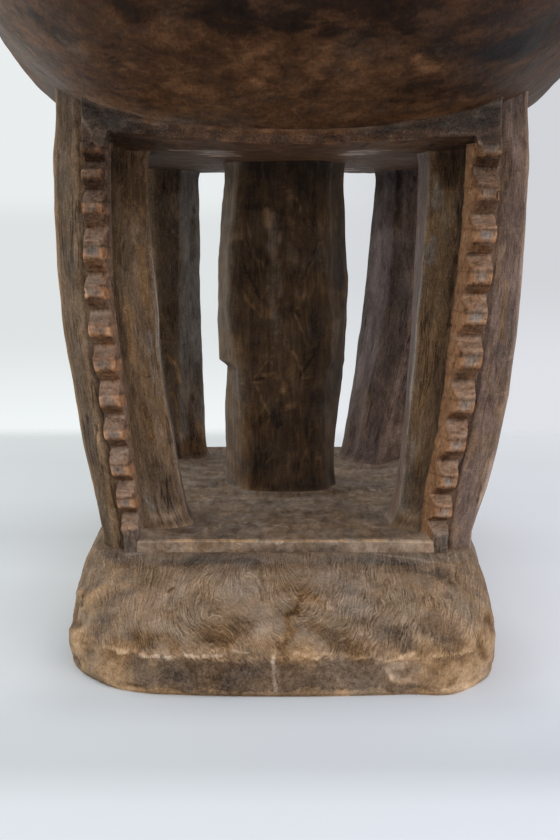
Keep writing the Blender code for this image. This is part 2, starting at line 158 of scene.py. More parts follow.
def wear(grid, rows, columns, full):
    """How worn each place is, from -1 in hollows to 1 on edges that stand out by the
    full height from the mean of four places some steps away."""
    tall = np.pad(grid, ((rows, rows), (0, 0), (0, 0)), mode="edge")
    mean = tall[2 * rows:] + tall[:-2 * rows]
    mean = (mean + np.roll(grid, columns, axis=1) + np.roll(grid, -columns, axis=1)) / 4
    return np.clip(np.sum((grid - mean) * outward(grid), axis=-1) / full, -1, 1)


def to_near_end(points):
    """The far half turned half round, so that what is written for the near end goes
    on both."""
    return points * np.where(points[..., 1:2] < 0, 1, np.array([-1, -1, 1]))


def dab(points, patch):
    """A soft patch, from its middle and half sizes along X, Y and Z in millimetres: 1
    in the middle, 0 past the edge."""
    middle, radii = MM * np.reshape(patch, (2, 3))
    return fade(np.linalg.norm((points - middle) / radii, axis=-1), 1.15, 0.45)


def marks(points, table):
    """Light and warmth that strokes add. Each row has a stroke's two ends and half
    width in millimetres, then how much lighter and how much warmer it is."""
    light, warm = np.zeros(points.shape[:-1]), np.zeros(points.shape[:-1])
    for row in np.array(table):
        start, finish, width = MM * row[:3], MM * row[3:6], MM * row[6]
        run = finish - start
        share = np.clip((points - start) @ run / (run @ run), 0, 1)
        away = np.linalg.norm(points - start - share[..., None] * run, axis=-1) / width
        soft = fade(away, 1.3, 0.5)
        light += row[7] * soft
        warm += row[8] * soft
    return light, warm


def ragged(points, reach, size, seed):
    """Points pushed about at random, for patches with uneven edges."""
    push = [rough(points, size, seed + step) for step in range(3)]
    return points + reach * np.stack(push, axis=-1)


def skin(name, grid, **painted):
    """One closed mesh from rings of points, closed by a fan at both ends. Painted
    values, one for each point, are kept as attributes for the finish to read."""
    rows, columns = grid.shape[:2]
    points = np.vstack([grid.reshape(-1, 3), grid[0].mean(axis=0), grid[-1].mean(axis=0)])
    index = np.arange(rows * columns).reshape(rows, columns)
    beside = np.roll(index, -1, axis=1)
    walls = np.stack([index[:-1], beside[:-1], beside[1:], index[1:]], axis=-1).reshape(-1, 4)
    low_fan = np.stack([beside[0], index[0], np.full(columns, rows * columns)], axis=-1)
    high_fan = np.stack([index[-1], beside[-1], np.full(columns, rows * columns + 1)], axis=-1)
    sides = [points[walls[:, turn]] for turn in range(4)]
    volume = np.sum(sides[0] * (np.cross(sides[1], sides[2]) + np.cross(sides[2], sides[3])))
    faces = [face if volume > 0 else face[:, ::-1] for face in (walls, low_fan, high_fan)]
    corners = np.concatenate([face.ravel() for face in faces])
    counts = np.concatenate([np.full(len(face), face.shape[1]) for face in faces])
    mesh = bpy.data.meshes.new(name)
    mesh.vertices.add(len(points))
    mesh.vertices.foreach_set("co", points.ravel())
    mesh.loops.add(len(corners))
    mesh.loops.foreach_set("vertex_index", corners)
    mesh.polygons.add(len(counts))
    mesh.polygons.foreach_set("loop_start", np.cumsum(counts) - counts)
    mesh.update(calc_edges=True)
    mesh.shade_smooth()
    for key, values in painted.items():
        vector = values.ndim == 3
        kind, field, width = ("FLOAT_VECTOR", "vector", 3) if vector else ("FLOAT", "value", 1)
        flat = values.reshape(-1, width)
        flat = np.vstack([flat, flat[:columns].mean(axis=0), flat[-columns:].mean(axis=0)])
        mesh.attributes.new(key, kind, "POINT").data.foreach_set(field, flat.ravel())
    piece = bpy.data.objects.new(name, mesh)
    bpy.context.scene.collection.objects.link(piece)
    return piece


class Wire:
    """A socket in a material. Sums, differences, products, quotients and powers of
    wires and numbers add Math nodes; any other node comes from add()."""

    def __init__(self, tree, socket):
        self.tree, self.socket = tree, socket

    def add(self, kind, sockets, output=0, stops=(), **settings):
        """Add a node: settings and ramp stops first, then its sockets' values or wires."""
        node = self.tree.nodes.new("ShaderNode" + kind)
        for key, value in settings.items():
            setattr(node, key, value)
        for place, _ in stops[1:-1]:
            node.color_ramp.elements.new(place)
        for element, (place, colour) in zip(node.color_ramp.elements if stops else (), stops):
            element.position = place
            element.color = (*colour, 1)
        for key, value in sockets.items():
            if isinstance(value, Wire):
                self.tree.links.new(value.socket, node.inputs[key])
            else:
                node.inputs[key].default_value = value
        return Wire(self.tree, node.outputs[output] if len(node.outputs) else None)

    def maths(self, operation, *values):
        return self.add("Math", dict(enumerate((self, *values))), operation=operation)

    def __add__(self, other):
        return self.maths("ADD", other)

    def __sub__(self, other):
        return self.maths("SUBTRACT", other)

    def __mul__(self, other):
        return self.maths("MULTIPLY", other)

    def __truediv__(self, other):
        return self.maths("DIVIDE", other)

    def __pow__(self, other):
        return self.maths("POWER", other)

    def __rsub__(self, other):
        return self.add("Math", {0: other, 1: self}, operation="SUBTRACT")

    __radd__, __rmul__ = __add__, __mul__

    def fade(self, start, finish):
        """Smooth step of a value from 0 at start to 1 at finish."""
        sockets = {"Value": self, "From Min": start, "From Max": finish}
        return self.add("MapRange", sockets, interpolation_type="SMOOTHSTEP")

    def mottled(self, *noises):
        """This value with noises added, each centred on 0 and times its strength."""
        whole = self
        for noise, strength in noises:
            whole = whole + (noise - 0.5) * strength
        return whole

    def mix(self, share, first, second, **settings):
        """A colour between two others at that share."""
        return self.add("Mix", {0: share, 6: first, 7: second}, 2, data_type="RGBA", **settings)

    def painted(self, name, output=2):
        """A value, or with output 1 a vector, painted on the mesh."""
        return self.add("Attribute", {}, output, attribute_name=name)

    def stretched(self, x, y, z):
        """The place with each axis multiplied, so that a pattern is drawn out or in."""
        return self.add("VectorMath", {0: self, 1: (x, y, z)}, operation="MULTIPLY")

    def cloud(self, size, detail=3, distortion=0.0, output=0):
        """Noise of about that size at this place, from 0 to 1."""
        sockets = {"Vector": self, "Scale": 1 / size, "Detail": detail, "Distortion": distortion}
        return self.add("TexNoise", sockets, output)

    def hairs(self, size, width):
        """Fine wandering lines, 1 along each line and 0 between them."""
        return (self.cloud(size, 2) - 0.5).maths("ABSOLUTE").fade(width, width * 0.3)

    def along(self, axis):
        """One coordinate of the place."""
        return self.add("SeparateXYZ", {0: self}, axis)


def shades(tint):
    """Ramp stops from dark to pale: the lightness grows with about the square of the
    value, and each stop is that lightness times the tint, which weakens towards pale."""
    values = np.linspace(0, 1, 9)[:, None]
    colours = (0.004 + 0.55 * values ** 2.1) * np.array(tint) ** (1.15 - 0.65 * values)
    return [(value, tuple(colour)) for value, colour in zip(values[:, 0], colours)]


DUSTY_WOOD = shades((1.16, 0.98, 0.80))
BARE_WOOD = shades((1.66, 0.88, 0.37))
OILED_WOOD = shades((1.88, 0.79, 0.31))
ROSY_WOOD = shades((1.26, 0.89, 0.83))


def start_finish(name):
    """A new material, a wire to add nodes by, the place along the piece's grain, and
    how light, warm and worn the piece is painted."""
    material = bpy.data.materials.new(name)
    material.use_nodes = True
    start = Wire(material.node_tree, None)
    looks = map(start.painted, ("light", "warm", "worn"))
    return material, start, start.painted("grain", 1), *looks


def end_finish(start, value, warmth, roughness, height, rich=BARE_WOOD, gloss=0.10, rosy=None):
    """Colour from how light, warm and rosy the wood is; a bump from heights in metres."""
    greys = start.add("ValToRGB", {0: value}, stops=DUSTY_WOOD)
    if rosy:
        greys = start.mix(rosy, greys, start.add("ValToRGB", {0: value}, stops=ROSY_WOOD))
    browns = start.add("ValToRGB", {0: value}, stops=rich)
    colour = start.mix(warmth, greys, browns, clamp_factor=True)
    relief = start.add("Bump", {"Height": height * 1000, "Distance": 0.001, "Strength": 1.0})
    shader = start.tree.nodes["Principled BSDF"]
    for key, wire in (("Base Color", colour), ("Roughness", roughness), ("Normal", relief)):
        start.tree.links.new(wire.socket, shader.inputs[key])
    shader.inputs["Specular IOR Level"].default_value = gloss


def slab_rings(half_width, half_length, corner, side_bow, end_bow, steps):
    """Rectangles with round corners and sides that bow out, one for each height:
    a quarter circle for each corner, then an even run to the next corner."""
    corner_steps, end_steps, side_steps = steps
    half = np.stack([half_width, half_length], axis=-1)
    signs = ((1, 1), (-1, 1), (-1, -1), (1, -1))
    turn = np.linspace(0, np.pi / 2, corner_steps + 1)
    arcs = []
    for quarter, sign in enumerate(signs):
        angle = turn + quarter * np.pi / 2
        arm = np.stack([np.cos(angle), np.sin(angle)], axis=-1)
        middle = (half - corner[:, None]) * sign
        arcs.append(middle[:, None] + corner[:, None, None] * arm)
    runs = []
    for quarter, arc in enumerate(arcs):
        count = side_steps if quarter % 2 else end_steps
        share = (np.arange(1, count) / count)[:, None]
        target = arcs[(quarter + 1) % 4][:, :1]
        runs += [arc, arc[:, -1:] + (target - arc[:, -1:]) * share]
    rings = np.concatenate(runs, axis=1)
    side = rings / half[:, None]
    rings[..., 0] += side_bow[:, None] * (1 - side[..., 1] ** 2) * side[..., 0]
    rings[..., 1] += end_bow[:, None] * (1 - side[..., 0] ** 2) * side[..., 1]
    return rings


def raised(outlines, heights):
    """Flat outlines lifted to their heights, as a grid of rings."""
    heights = np.broadcast_to(heights[:, None, None], (*outlines.shape[:2], 1))
    return np.concatenate([outlines, heights], axis=-1)


def base_grid():
    """The slab's wall from under its rim to the top, then rings closing in over
    the top and, first, under the bottom. The rim's line wavers up and down."""
    stations = np.linspace(0, 1, len(BASE_HEIGHT_SHARES))
    at = np.linspace(0, 1, BASE_ROWS)
    height = np.clip(curve_through(stations, BASE_HEIGHT_SHARES, at), 0, 1)
    side = curve_through(stations, BASE_SIDE_SHARES, at)
    end = curve_through(stations, BASE_END_SHARES, at)
    rings = slab_rings(
        BASE_HALF_WIDTH + BASE_SIDE_RUN * side,
        BASE_HALF_LENGTH + BASE_END_RUN * end,
        BASE_CORNER_TOP + (BASE_CORNER_RIM - BASE_CORNER_TOP) * end,
        BASE_SIDE_BOW * side,
        BASE_END_BOW * end,
        BASE_STEPS,
    )
    wall = raised(rings, height * BASE_TOP)
    waver = RIM_WAVER * rough(wall * np.array([1, 1, 0]), 0.022, 9)
    wall[..., 2] += waver * bell(wall[..., 2], 0.0155, 0.006)
    inner = np.linspace(0.95, 0.05, 5)[:, None, None]
    lid = wall[-1:] * np.array([1, 1, 0]) * inner + np.array([0, 0, BASE_TOP])
    sole = (wall[:1] * np.array([1, 1, 0]) * inner)[::-1]
    return np.concatenate([sole, wall, lid]) + np.array([BASE_SHIFT, 0, 0])


# Strokes for marks(): stains and bruises first, then cracks and cuts.
BASE_MARKS = (
    (-83, -190, 21, -86, -196, 16, 8.5, -0.15, -0.16),
    (-70, -172, 36, -83, -184, 25, 5, -0.07, -0.14),
    (-64, -203, 22, -52, -206, 21, 5, -0.13, 0.25),
    (-32, -204, 23, -22, -199, 26, 7.5, -0.14, 0.2),
    (14, -204, 23, 28, -208, 20, 6, -0.12, 0.25),
    (50, -206, 20, 47, -201, 24, 5, -0.14, -0.14),
    (68, -194, 25, 64, -198, 23, 8, -0.12, -0.05),
    (4.5, -180, 35, 1, -196, 28, 2.2, -0.12, 0.6),
    (1, -196, 28, -2, -208, 21, 3, -0.1, 0.6),
    (7, -182, 34, 10, -186, 32, 4, -0.06, 0.4),
    (-55, -157, 43.5, -15, -156, 43.5, 4, -0.1, -0.07),
    (-38, -158, 43, -30, -158, 43, 1.6, 0.05, 0.6),
    (36, -155, 43.7, 48, -157, 43.2, 5.5, -0.08, -0.2),
    (54, -161, 42.5, 68, -165, 40, 4, -0.1, -0.14),
    (-62, -184, 32.5, -50, -176, 36.5, 11, 0.06, -0.05),
    (-22, -178, 35.9, -10, -196, 28, 10, 0.05, -0.11),
    (18, -172, 38.5, 30, -185, 32.5, 12, 0.05, -0.11),
    (-86, -171, 33, -88, -178, 27, 3.5, 0.1, 0.35),
    (-95, -166, 29, -96.5, -161, 29, 3.5, -0.18, 0.55),
    (86, -174, 24, 90, -178, 18, 3.5, -0.1, 0.6),
    (84, -186, 16, 87, -188, 10, 3.5, -0.1, 0.55),
    (70, -205, 6.5, 86, -193, 7.5, 7.5, 0.12, 0.3),
    (-74, -206, 8, -94, -182, 12, 8.5, 0.12, 0.2),
    (39, -213, 13, 56, -209, 13, 4.5, 0.13, 0),
    (55, -208.5, 3, 70, -202, 6, 2.2, -0.18, 0.1),
    (-62, -210, 8, -12, -215, 7.5, 5, -0.05, -0.09),
)
BASE_CUTS = (
    (-12.8, -164, 41, -12.4, -186, 32.5, 1, -0.13, 0.1),
    (-53.8, -178.7, 35.1, -52, -176, 36.2, 0.8, -0.26, 0.1),
    (-6.5, -213.9, 17, -7, -215, 14, 0.9, 0.2, -0.2),
    (-7, -215, 14, -6, -215.5, 3, 0.9, 0.22, -0.2),
    (-5, -215.5, 13, -4, -215.5, 3, 0.6, 0.1, -0.1),
    (-62, -210, 15, -56, -211, 15.5, 0.9, 0.22, -0.1),
    (-52.5, -212, 15.8, -47, -212.2, 16, 0.8, 0.2, -0.2),
    (-44, -212.3, 16, -38.5, -212.9, 16, 0.9, 0.24, -0.2),
    (-36, -212.9, 16, -29, -213, 16.6, 0.8, 0.22, -0.2),
    (-24, -212, 18, -17, -212.5, 17.6, 0.8, 0.22, -0.2),
    (2, -213, 17.2, 18, -213, 17, 1.2, 0.12, 0.2),
    (40.4, -212.8, 13.6, 46.9, -211.4, 16.2, 1, 0.14, 0.3),
    (46.9, -211.4, 16.2, 53.4, -209.5, 17, 1, 0.12, 0.2),
    (41.3, -213.2, 11.1, 43.4, -213, 7.6, 1.2, 0.16, 0.1),
    (43.4, -213, 7.6, 51.2, -212, 6, 1.4, 0.16, 0),
    (44, -212.5, 12, 50, -211.5, 12, 2, 0.1, 0),
    (-76.1, -149.7, 45.1, -53.2, -145.8, 45.5, 1.1, 0.12, -0.2),
    (33.3, -145.2, 45.5, 46.9, -150.9, 45, 1.1, 0.1, -0.2),
    (46.9, -150.9, 45, 76, -157, 42.5, 1.1, 0.11, 0),
)
# Chips for dab(), with the depth last: the rim's bites and broken corners.
BASE_CHIPS = (
    (47.5, -213, 12, 10, 20, 5.5, 3.0), (52, -210, 18, 5, 20, 5, 1.6),
    (-96.5, -164.5, 28.2, 8, 4, 2.8, 3.0), (-96, -168, 22.5, 12, 22, 6.5, 2.4),
    (-98, -150, 38, 20, 30, 9, 3.2), (-97, -176, 12, 20, 16, 8, -1.2),
    (-95, -180, 2, 12, 7, 5, 3.0), (90, -177, 20, 20, 7, 5, 1.2), (88, -188, 13, 20, 6, 5, 1.2),
)
BASE_TOE = (82, -195, 4, 34, 30, 26)
TOE_OUT, TOE_CORNER_OUT = 0.0036, 0.0075
CHIP_DEPTH = 0.0022


def make_base():
    """Base pushed in and out along its normals by waves, tool cuts and chips, with its
    dirt, dust and wear painted on. Both ends carry the same stains, turned half round."""
    grid = base_grid()
    normal = outward(grid)
    end = fade(np.abs(grid[..., 1]), 0.13, 0.16)
    sloping = end * fade(normal[..., 2], 0.15, 0.45)
    up, across = grid[..., 2], grid[..., 0]
    rim_line, foot_line = bell(up, *RIM_LINE), bell(up, *FOOT_LINE)
    free = fade(up, 0, 0.004) * fade(up, BASE_TOP + 0.0002, BASE_TOP - 0.002)
    turned = to_near_end(grid)
    broken = fade(rough(grid, (0.011, 0.011, 0.012), 4, 3), 0.12, 0.55)
    chipped = (rim_line + foot_line) * broken
    depth = 0.0014 * rough(grid, 0.036, 1) + 0.0005 * rough(grid, 0.011, 2)
    depth += 0.0004 * (scoops(grid, (0.020, 0.030, 0.020), 3) - 0.5)
    depth -= CHIP_DEPTH * chipped + 0.0006 * rim_line * rough(grid, 0.0035, 10)
    for row in BASE_CHIPS:
        depth -= MM * row[6] * dab(turned, row[:6])
    toe = TOE_OUT * fade(up, 0.0170, 0.0030) * fade(np.abs(across), 0.092, 0.070)
    toe += TOE_CORNER_OUT * dab(turned, BASE_TOE)
    grid = grid + normal * (depth * free)[..., None]
    grid[..., 1] += np.sign(grid[..., 1]) * end * toe
    up, across = grid[..., 2], grid[..., 0]
    worn = wear(grid, 3, 3, 0.0005) * fade(up, 0.0436, 0.0420)

    light, warm = marks(ragged(turned, 0.005, 0.009, 5), BASE_MARKS)
    cut_light, cut_warm = marks(ragged(turned, 0.0008, 0.004, 12), BASE_CUTS)
    light, warm = light + cut_light, warm + cut_warm
    light += 0.502 + 0.06 * rough(grid, 0.05, 6) + 0.05 * rough(grid, 0.012, 16)
    light += 0.05 * sloping - 0.09 * end * fade(up, 0.040, 0.0435)
    light += 0.10 * chipped * end + 0.10 * np.maximum(worn, 0) - 0.06 * np.maximum(-worn, 0)
    right_half = fade(across * np.sign(-grid[..., 1]), 0.000, 0.020)
    light += 0.06 * end * right_half * fade(up, 0.017, 0.013)
    warm += 0.61 + 0.12 * rough(grid, 0.03, 8) + 0.45 * chipped + 0.15 * rim_line
    warm += 0.25 * np.maximum(worn, 0) - 0.3 * fade(up, 0.0422, 0.0436) * end
    rim = end * fade(normal[..., 2], 0.75, 0.35) * fade(np.abs(across), 0.086, 0.070)
    painted = {"grain": grid, "light": light, "warm": warm, "worn": worn}
    return skin("base", grid, **painted, rings=sloping, rim=rim)


def year_rings(start, grain):
    """Lines round the heart, from 0 to 1: noise drawn out along circles that waver,
    with ripples that bend neighbouring lines alike."""
    place = grain.stretched(1, 0.3, 1)
    waver = place.cloud(0.036, 2, output=1)
    ripple = place.cloud(0.0040, 1, output=1)
    across = grain.along(0) - HEART[0]
    across = across.mottled((waver.along(0), 0.032), (ripple.along(0), 0.0030))
    down = HEART[2] - grain.along(2)
    down = down.mottled((waver.along(2), 0.020), (ripple.along(2), 0.0030))
    radius = (across * across + down * down) ** 0.5
    arc = across.maths("ARCTAN2", down) * radius
    return start.add("CombineXYZ", {0: radius / RING_SPACING, 1: arc / RING_RUN}).cloud(1.0, 2)


def base_finish():
    """Dry end grain: fine wavy rings and pores, dirt in the hollows and along the rim,
    whose edges are bruised back to pale and orange wood."""
    material, start, grain, light, warm, worn = start_finish("end_grain_wood")
    open_grain, rim = start.painted("rings"), start.painted("rim")
    breaks = grain.stretched(1, 0.5, 1).cloud(0.010, 3).fade(0.30, 0.60)
    lines = (year_rings(start, grain) - 0.5) * (breaks * 0.7 + 0.3) * (open_grain * 0.9 + 0.1)
    pores = grain.stretched(1, 0.5, 1).cloud(0.0009, 2)
    blotch = grain.cloud(0.020, 5, 0.8)
    stain = grain.cloud(0.009, 4, 0.5)
    long_grain = grain.stretched(1, 0.06, 1).cloud(0.0022, 4)
    nicks = grain.cloud(0.0050, 4)
    up = grain.along(2)
    edge = up + (nicks - 0.5) * 0.0052
    foot = up + (grain.cloud(0.0070, 4) - 0.5) * 0.0120
    band = edge.fade(0.0160, 0.0150) * foot.fade(0.0022, 0.0034) * rim
    crest = edge.fade(0.0150, 0.0162) * edge.fade(0.0182, 0.0170) * nicks.fade(0.42, 0.60)
    value = (light + lines * 0.84).mottled((pores, 0.34), (blotch, 0.34), (stain, 0.26))
    value = value + (long_grain - 0.5) * 0.35 * (1 - open_grain)
    value = value - band * 0.105 + (rim - band) * 0.035 + crest * rim * 0.20
    warmth = warm.mottled((grain.cloud(0.013, 4, 0.6), 0.8)) + (rim * 0.4 - band * 0.5) * 0.45
    height = lines * 0.00055 + pores * 0.00022 + long_grain * 0.00015
    height = height + stain * 0.0003 + nicks * rim * 0.0012
    end_finish(start, value, warmth, 0.86 - worn * 0.10 - pores * 0.1, height)
    return material


base = make_base()
base.data.materials.append(base_finish())
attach(base, "root")
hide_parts("base_slab")

# Deck
# The low floor left between the feet, cut with a gouge and never sanded. Its
# front edge is the thin sill, worn pale along its top.

DECK_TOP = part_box("deck")[1].z
FRAME_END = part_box("top_plate")[1].y
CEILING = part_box("top_plate")[0].z
DECK_HALF_WIDTH = 0.0798
DECK_END_SHARE = 0.92
DECK_ROUND = 0.0014
DECK_ROWS = 95
DECK_STEPS = (3, 170, 130)
COLUMN_REACH = (0.036, 0.024)
DECK_CUT = 0.0007
DECK_SWEEP, DECK_FILLET = 0.0016, 0.004
SILL_ARC, SILL_ARC_DROP, SILL_ARC_HALF = 0.0464, 0.0026, 0.065


def deck_grid():
    """A thin slab: a rounded edge, then rings closing in over a flat top."""
    turn = np.linspace(0, np.pi / 2, 9)
    inset = np.concatenate([[0, 0], DECK_ROUND * (1 - np.cos(turn)) + 0.0001])
    edge = DECK_TOP - DECK_ROUND * (1 - np.sin(turn))
    closing = np.linspace(0, 1, DECK_ROWS + 1)[1:]
    shrink = np.concatenate([np.ones(len(inset)), 1 - closing * 0.97])
    inset = np.concatenate([inset, np.full(DECK_ROWS, inset[-1])])
    height = np.concatenate([[BASE_TOP - 0.003, BASE_TOP], edge, np.full(DECK_ROWS, DECK_TOP)])
    rings = slab_rings(
        (DECK_HALF_WIDTH - inset) * shrink,
        (FRAME_END - 0.0004 - inset) * shrink,
        0.0008 * shrink,
        np.zeros(len(shrink)),
        np.zeros(len(shrink)),
        DECK_STEPS,
    )
    return raised(rings, height)


def make_deck():
    """Deck with gouge cuts over its top, which sweeps up to the column and the legs,
    a pale worn line along the sill, and a painted shadow round the column's foot."""
    grid = deck_grid()
    grid[..., 0] *= 1 - (1 - DECK_END_SHARE) * fade(np.abs(grid[..., 1]), 0.085, 0.120)
    across, along, up = np.moveaxis(grid, -1, 0)
    top = fade(up, DECK_TOP - 0.001, DECK_TOP - 0.0001)
    inside = fade(np.abs(along), FRAME_END - 0.001, FRAME_END - 0.012)
    cuts = scoops(grid, (0.022, 0.014, 0.03), 11) - 0.55 + rough(grid, 0.03, 12)
    away = np.hypot(across / COLUMN_REACH[0], along / COLUMN_REACH[1])
    sweep = DECK_SWEEP * fade(away, 1.45, 1.0)
    fillet = DECK_FILLET * fade(np.abs(across), 0.045, 0.075) ** 2
    up += top * inside * (DECK_CUT * cuts + sweep + fillet)
    up += 0.0006 * rough(grid, (0.035, 1, 1), 13) * (1 - inside) * fade(up, 0.046, 0.049)
    worn = wear(grid, 3, 3, 0.0004)
    sill = bell(np.abs(along), FRAME_END - 0.0008, 0.0010)
    sill = sill * fade(up, DECK_TOP - 0.0012, DECK_TOP - 0.0004)
    sill = sill * fade(rough(grid, 0.006, 17), -0.5, 0.3) * fade(np.abs(across), 0.070, 0.050)
    front = fade(np.abs(along), FRAME_END - 0.0024, FRAME_END - 0.0008)
    arc = SILL_ARC - SILL_ARC_DROP * (across / SILL_ARC_HALF) ** 2 + 0.0003 * rough(grid, 0.012, 18)
    light = 0.530 + 0.075 * fade(along, -0.12, 0.0) + 0.03 * fade(across, 0.0, 0.05)
    light += 0.05 * rough(grid, 0.03, 14) + 0.07 * sill
    light += front * (0.08 * bell(up, arc, 0.0005) - 0.10 * fade(up, arc, arc - 0.0006))
    # Painted shadow: a darker ring round the column's foot.
    light += 0.02 * (1 - inside) - 0.12 * fade(away, 1.7, 1.15) * fade(away, 0.9, 1.1)
    light += 0.10 * np.maximum(worn, 0) - 0.08 * np.maximum(-worn, 0)
    warm = 0.47 + 0.20 * rough(grid, 0.025, 15) + 0.6 * sill + 0.05 * front
    return skin("deck_floor", grid, grain=grid, light=light, warm=warm, worn=worn)


def deck_finish():
    """Dusty gouged wood: short dark and light strokes, dull all over."""
    material, start, grain, light, warm, worn = start_finish("deck_wood")
    strokes = grain.stretched(1, 0.3, 1).cloud(0.004, 4, 0.8)
    blotch = grain.cloud(0.018, 5, 0.6)
    dust = grain.cloud(0.0009, 2)
    scratches = grain.stretched(0.45, 1, 1).hairs(0.010, 0.016)
    scratches = scratches * grain.cloud(0.016, 2).fade(0.5, 0.6)
    value = light.mottled((strokes, 0.52), (blotch, 0.46), (dust, 0.24)) + scratches * 0.12
    warmth = warm.mottled((grain.cloud(0.012, 4, 0.6), 0.9))
    height = strokes * 0.0005 + dust * 0.00015 + scratches * 0.0002
    end_finish(start, value, warmth, 0.82 - worn * 0.08 + (dust - 0.5) * 0.1, height)
    return material


deck = make_deck()
deck.data.materials.append(deck_finish())
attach(deck, "root")
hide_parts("deck")

# Corner legs
# Four bowed legs in one with base and ceiling. Each has a plain outer strip, a
# hollow panel cut towards the middle of the stool and a narrow bevel behind it,
# left as the knife cut them and dulled by handling.

LEG_SPREAD = 0.110
LEG_STRIP_WIDTH = 0.0044
LEG_STRIP_SETBACK = 0.008
LEG_CREST_SETBACK = 0.022
LEG_PANEL_START = 0.019
LEG_PANEL_END = 0.038
LEG_RIDGE_SETBACK = 0.062
LEG_HEEL_SETBACK = 0.076
LEG_HEEL_DROP = 0.006
LEG_HEEL_TURN_SHARE = 0.4
PANEL_FOOT_FLARE_SHARE = 0.25
RAIL_DEPTH = 0.0145
RAIL_WIDTH = 0.0118
RAIL_FOOT_WIDTH = 0.0088
NOTCH_SIDE_CUT = 0.0015
STATION_SHARES = (0.0, 0.12, 0.25, 0.40, 0.60, 0.80, 1.0)
# Each leg's edges at those stations, as shares of LEG_SPREAD.
LEGS = {
    "front_left_leg": {
        "side": -1,
        "end": -1,
        "crest_shares": (0.798, 0.838, 0.880, 0.923, 0.977, 0.989, 0.997),
        "rail_shares": (0.703, 0.733, 0.770, 0.804, 0.845, 0.853, 0.854),
        "panel_shares": (0.453, 0.478, 0.511, 0.555, 0.573, 0.600, 0.612),
        "ridge_shares": (0.470, 0.497, 0.530, 0.572, 0.598, 0.625, 0.636),
    },
    "front_right_leg": {
        "side": 1,
        "end": -1,
        "crest_shares": (0.785, 0.848, 0.900, 0.946, 0.984, 1.003, 1.012),
        "rail_shares": (0.675, 0.702, 0.747, 0.792, 0.830, 0.860, 0.875),
        "panel_shares": (0.480, 0.507, 0.525, 0.545, 0.567, 0.595, 0.612),
        "ridge_shares": (0.473, 0.498, 0.525, 0.545, 0.561, 0.573, 0.584),
    },
    "back_left_leg": {
        "side": -1,
        "end": 1,
        "crest_shares": (0.798, 0.842, 0.885, 0.930, 0.975, 0.990, 1.000),
        "rail_shares": (0.690, 0.720, 0.760, 0.800, 0.838, 0.856, 0.862),
        "panel_shares": (0.473, 0.477, 0.485, 0.491, 0.498, 0.497, 0.502),
        "ridge_shares": (0.616, 0.615, 0.614, 0.611, 0.607, 0.604, 0.601),
    },
    "back_right_leg": {
        "side": 1,
        "end": 1,
        "crest_shares": (0.798, 0.850, 0.895, 0.938, 0.980, 0.995, 1.004),
        "rail_shares": (0.682, 0.710, 0.752, 0.796, 0.834, 0.858, 0.868),
        "panel_shares": (0.314, 0.345, 0.377, 0.409, 0.445, 0.477, 0.505),
        "ridge_shares": (0.386, 0.418, 0.457, 0.509, 0.568, 0.591, 0.605),
    },
}


def leg_edges(leg, share):
    """Distances of a leg's edges from the stool's middle at shares of its height."""
    at = np.clip(share, 0, 1)
    edges = {}
    for edge in ("crest", "rail", "panel", "ridge"):
        edges[edge] = LEG_SPREAD * curve_through(STATION_SHARES, leg[edge + "_shares"], at)
    width = RAIL_FOOT_WIDTH + (RAIL_WIDTH - RAIL_FOOT_WIDTH) * np.minimum(1, 2 * at)
    edges["rail_inner"] = edges["rail"] - width
    edges["panel_outer"] = edges["rail_inner"] - PANEL_FOOT_FLARE_SHARE * width * (1 - at)
    return edges


def rounded(corners, radii, steps, turns=4):
    """Closed outlines with each corner turned into a short parabola, and each edge
    divided evenly. Also where each point lies, counted in corners."""
    ahead = np.roll(corners, -1, axis=1) - corners
    length = np.linalg.norm(ahead, axis=-1, keepdims=True)
    ahead = ahead / length
    room = 0.45 * np.minimum(length, np.roll(length, 1, axis=1))
    reach = np.minimum(np.asarray(radii, float)[None, :, None], room)
    enter = corners - np.roll(ahead, 1, axis=1) * reach
    leave = corners + ahead * reach
    t = np.linspace(0, 1, turns + 1)[:, None]
    points, stations = [], []
    for k, count in enumerate(steps):
        come, corner, go = (line[:, k, None] for line in (enter, corners, leave))
        points.append((1 - t) ** 2 * come + 2 * t * (1 - t) * corner + t ** 2 * go)
        share = (np.arange(1, count) / count)[:, None]
        target = enter[:, (k + 1) % corners.shape[1], None]
        points.append(go + (target - go) * share)
        stations += list(k + 0.1 * (t[:, 0] - 0.5)) + list(k + 0.1 + 0.8 * share[:, 0])
    return np.concatenate(points, axis=1), np.array(stations)


def sections(plan):
    """Corners of the sections, one section for each height, from a plan that gives
    each corner's X and Y as a value for each height or as one for all."""
    return np.stack([np.stack(np.broadcast_arrays(x, y), axis=-1) for x, y in plan], axis=1)


def unbent(grid, line):
    """Points moved along X by where a bowed line runs, so that grain follows it."""
    return grid - line[:, None, None] * np.array([1, 0, 0])


def leg_corners(leg, share):
    """Corners of a leg's section, from the back of the rail round by the middle."""
    edges = leg_edges(leg, share)
    back = edges["crest"] - LEG_STRIP_SETBACK
    turn = edges["ridge"] + LEG_HEEL_TURN_SHARE * (back - edges["ridge"])
    under_rail = edges["rail"] - 0.004
    plan = (
        (edges["rail_inner"], RAIL_DEPTH),
        (edges["panel_outer"], LEG_PANEL_START),
        (edges["panel"], LEG_PANEL_END),
        (edges["ridge"], LEG_RIDGE_SETBACK),
        (turn, LEG_HEEL_SETBACK),
        (back, LEG_HEEL_SETBACK - LEG_HEEL_DROP),
        (edges["crest"], LEG_CREST_SETBACK + LEG_STRIP_SETBACK),
        (edges["crest"], LEG_CREST_SETBACK),
        (edges["rail"] + LEG_STRIP_WIDTH, LEG_STRIP_SETBACK + NOTCH_SIDE_CUT),
        (under_rail, LEG_STRIP_SETBACK + 0.0010),
        (under_rail, RAIL_DEPTH),
    )
    corners = sections([(x, FRAME_END - setback) for x, setback in plan])
    return corners * np.array([leg["side"], leg["end"]])


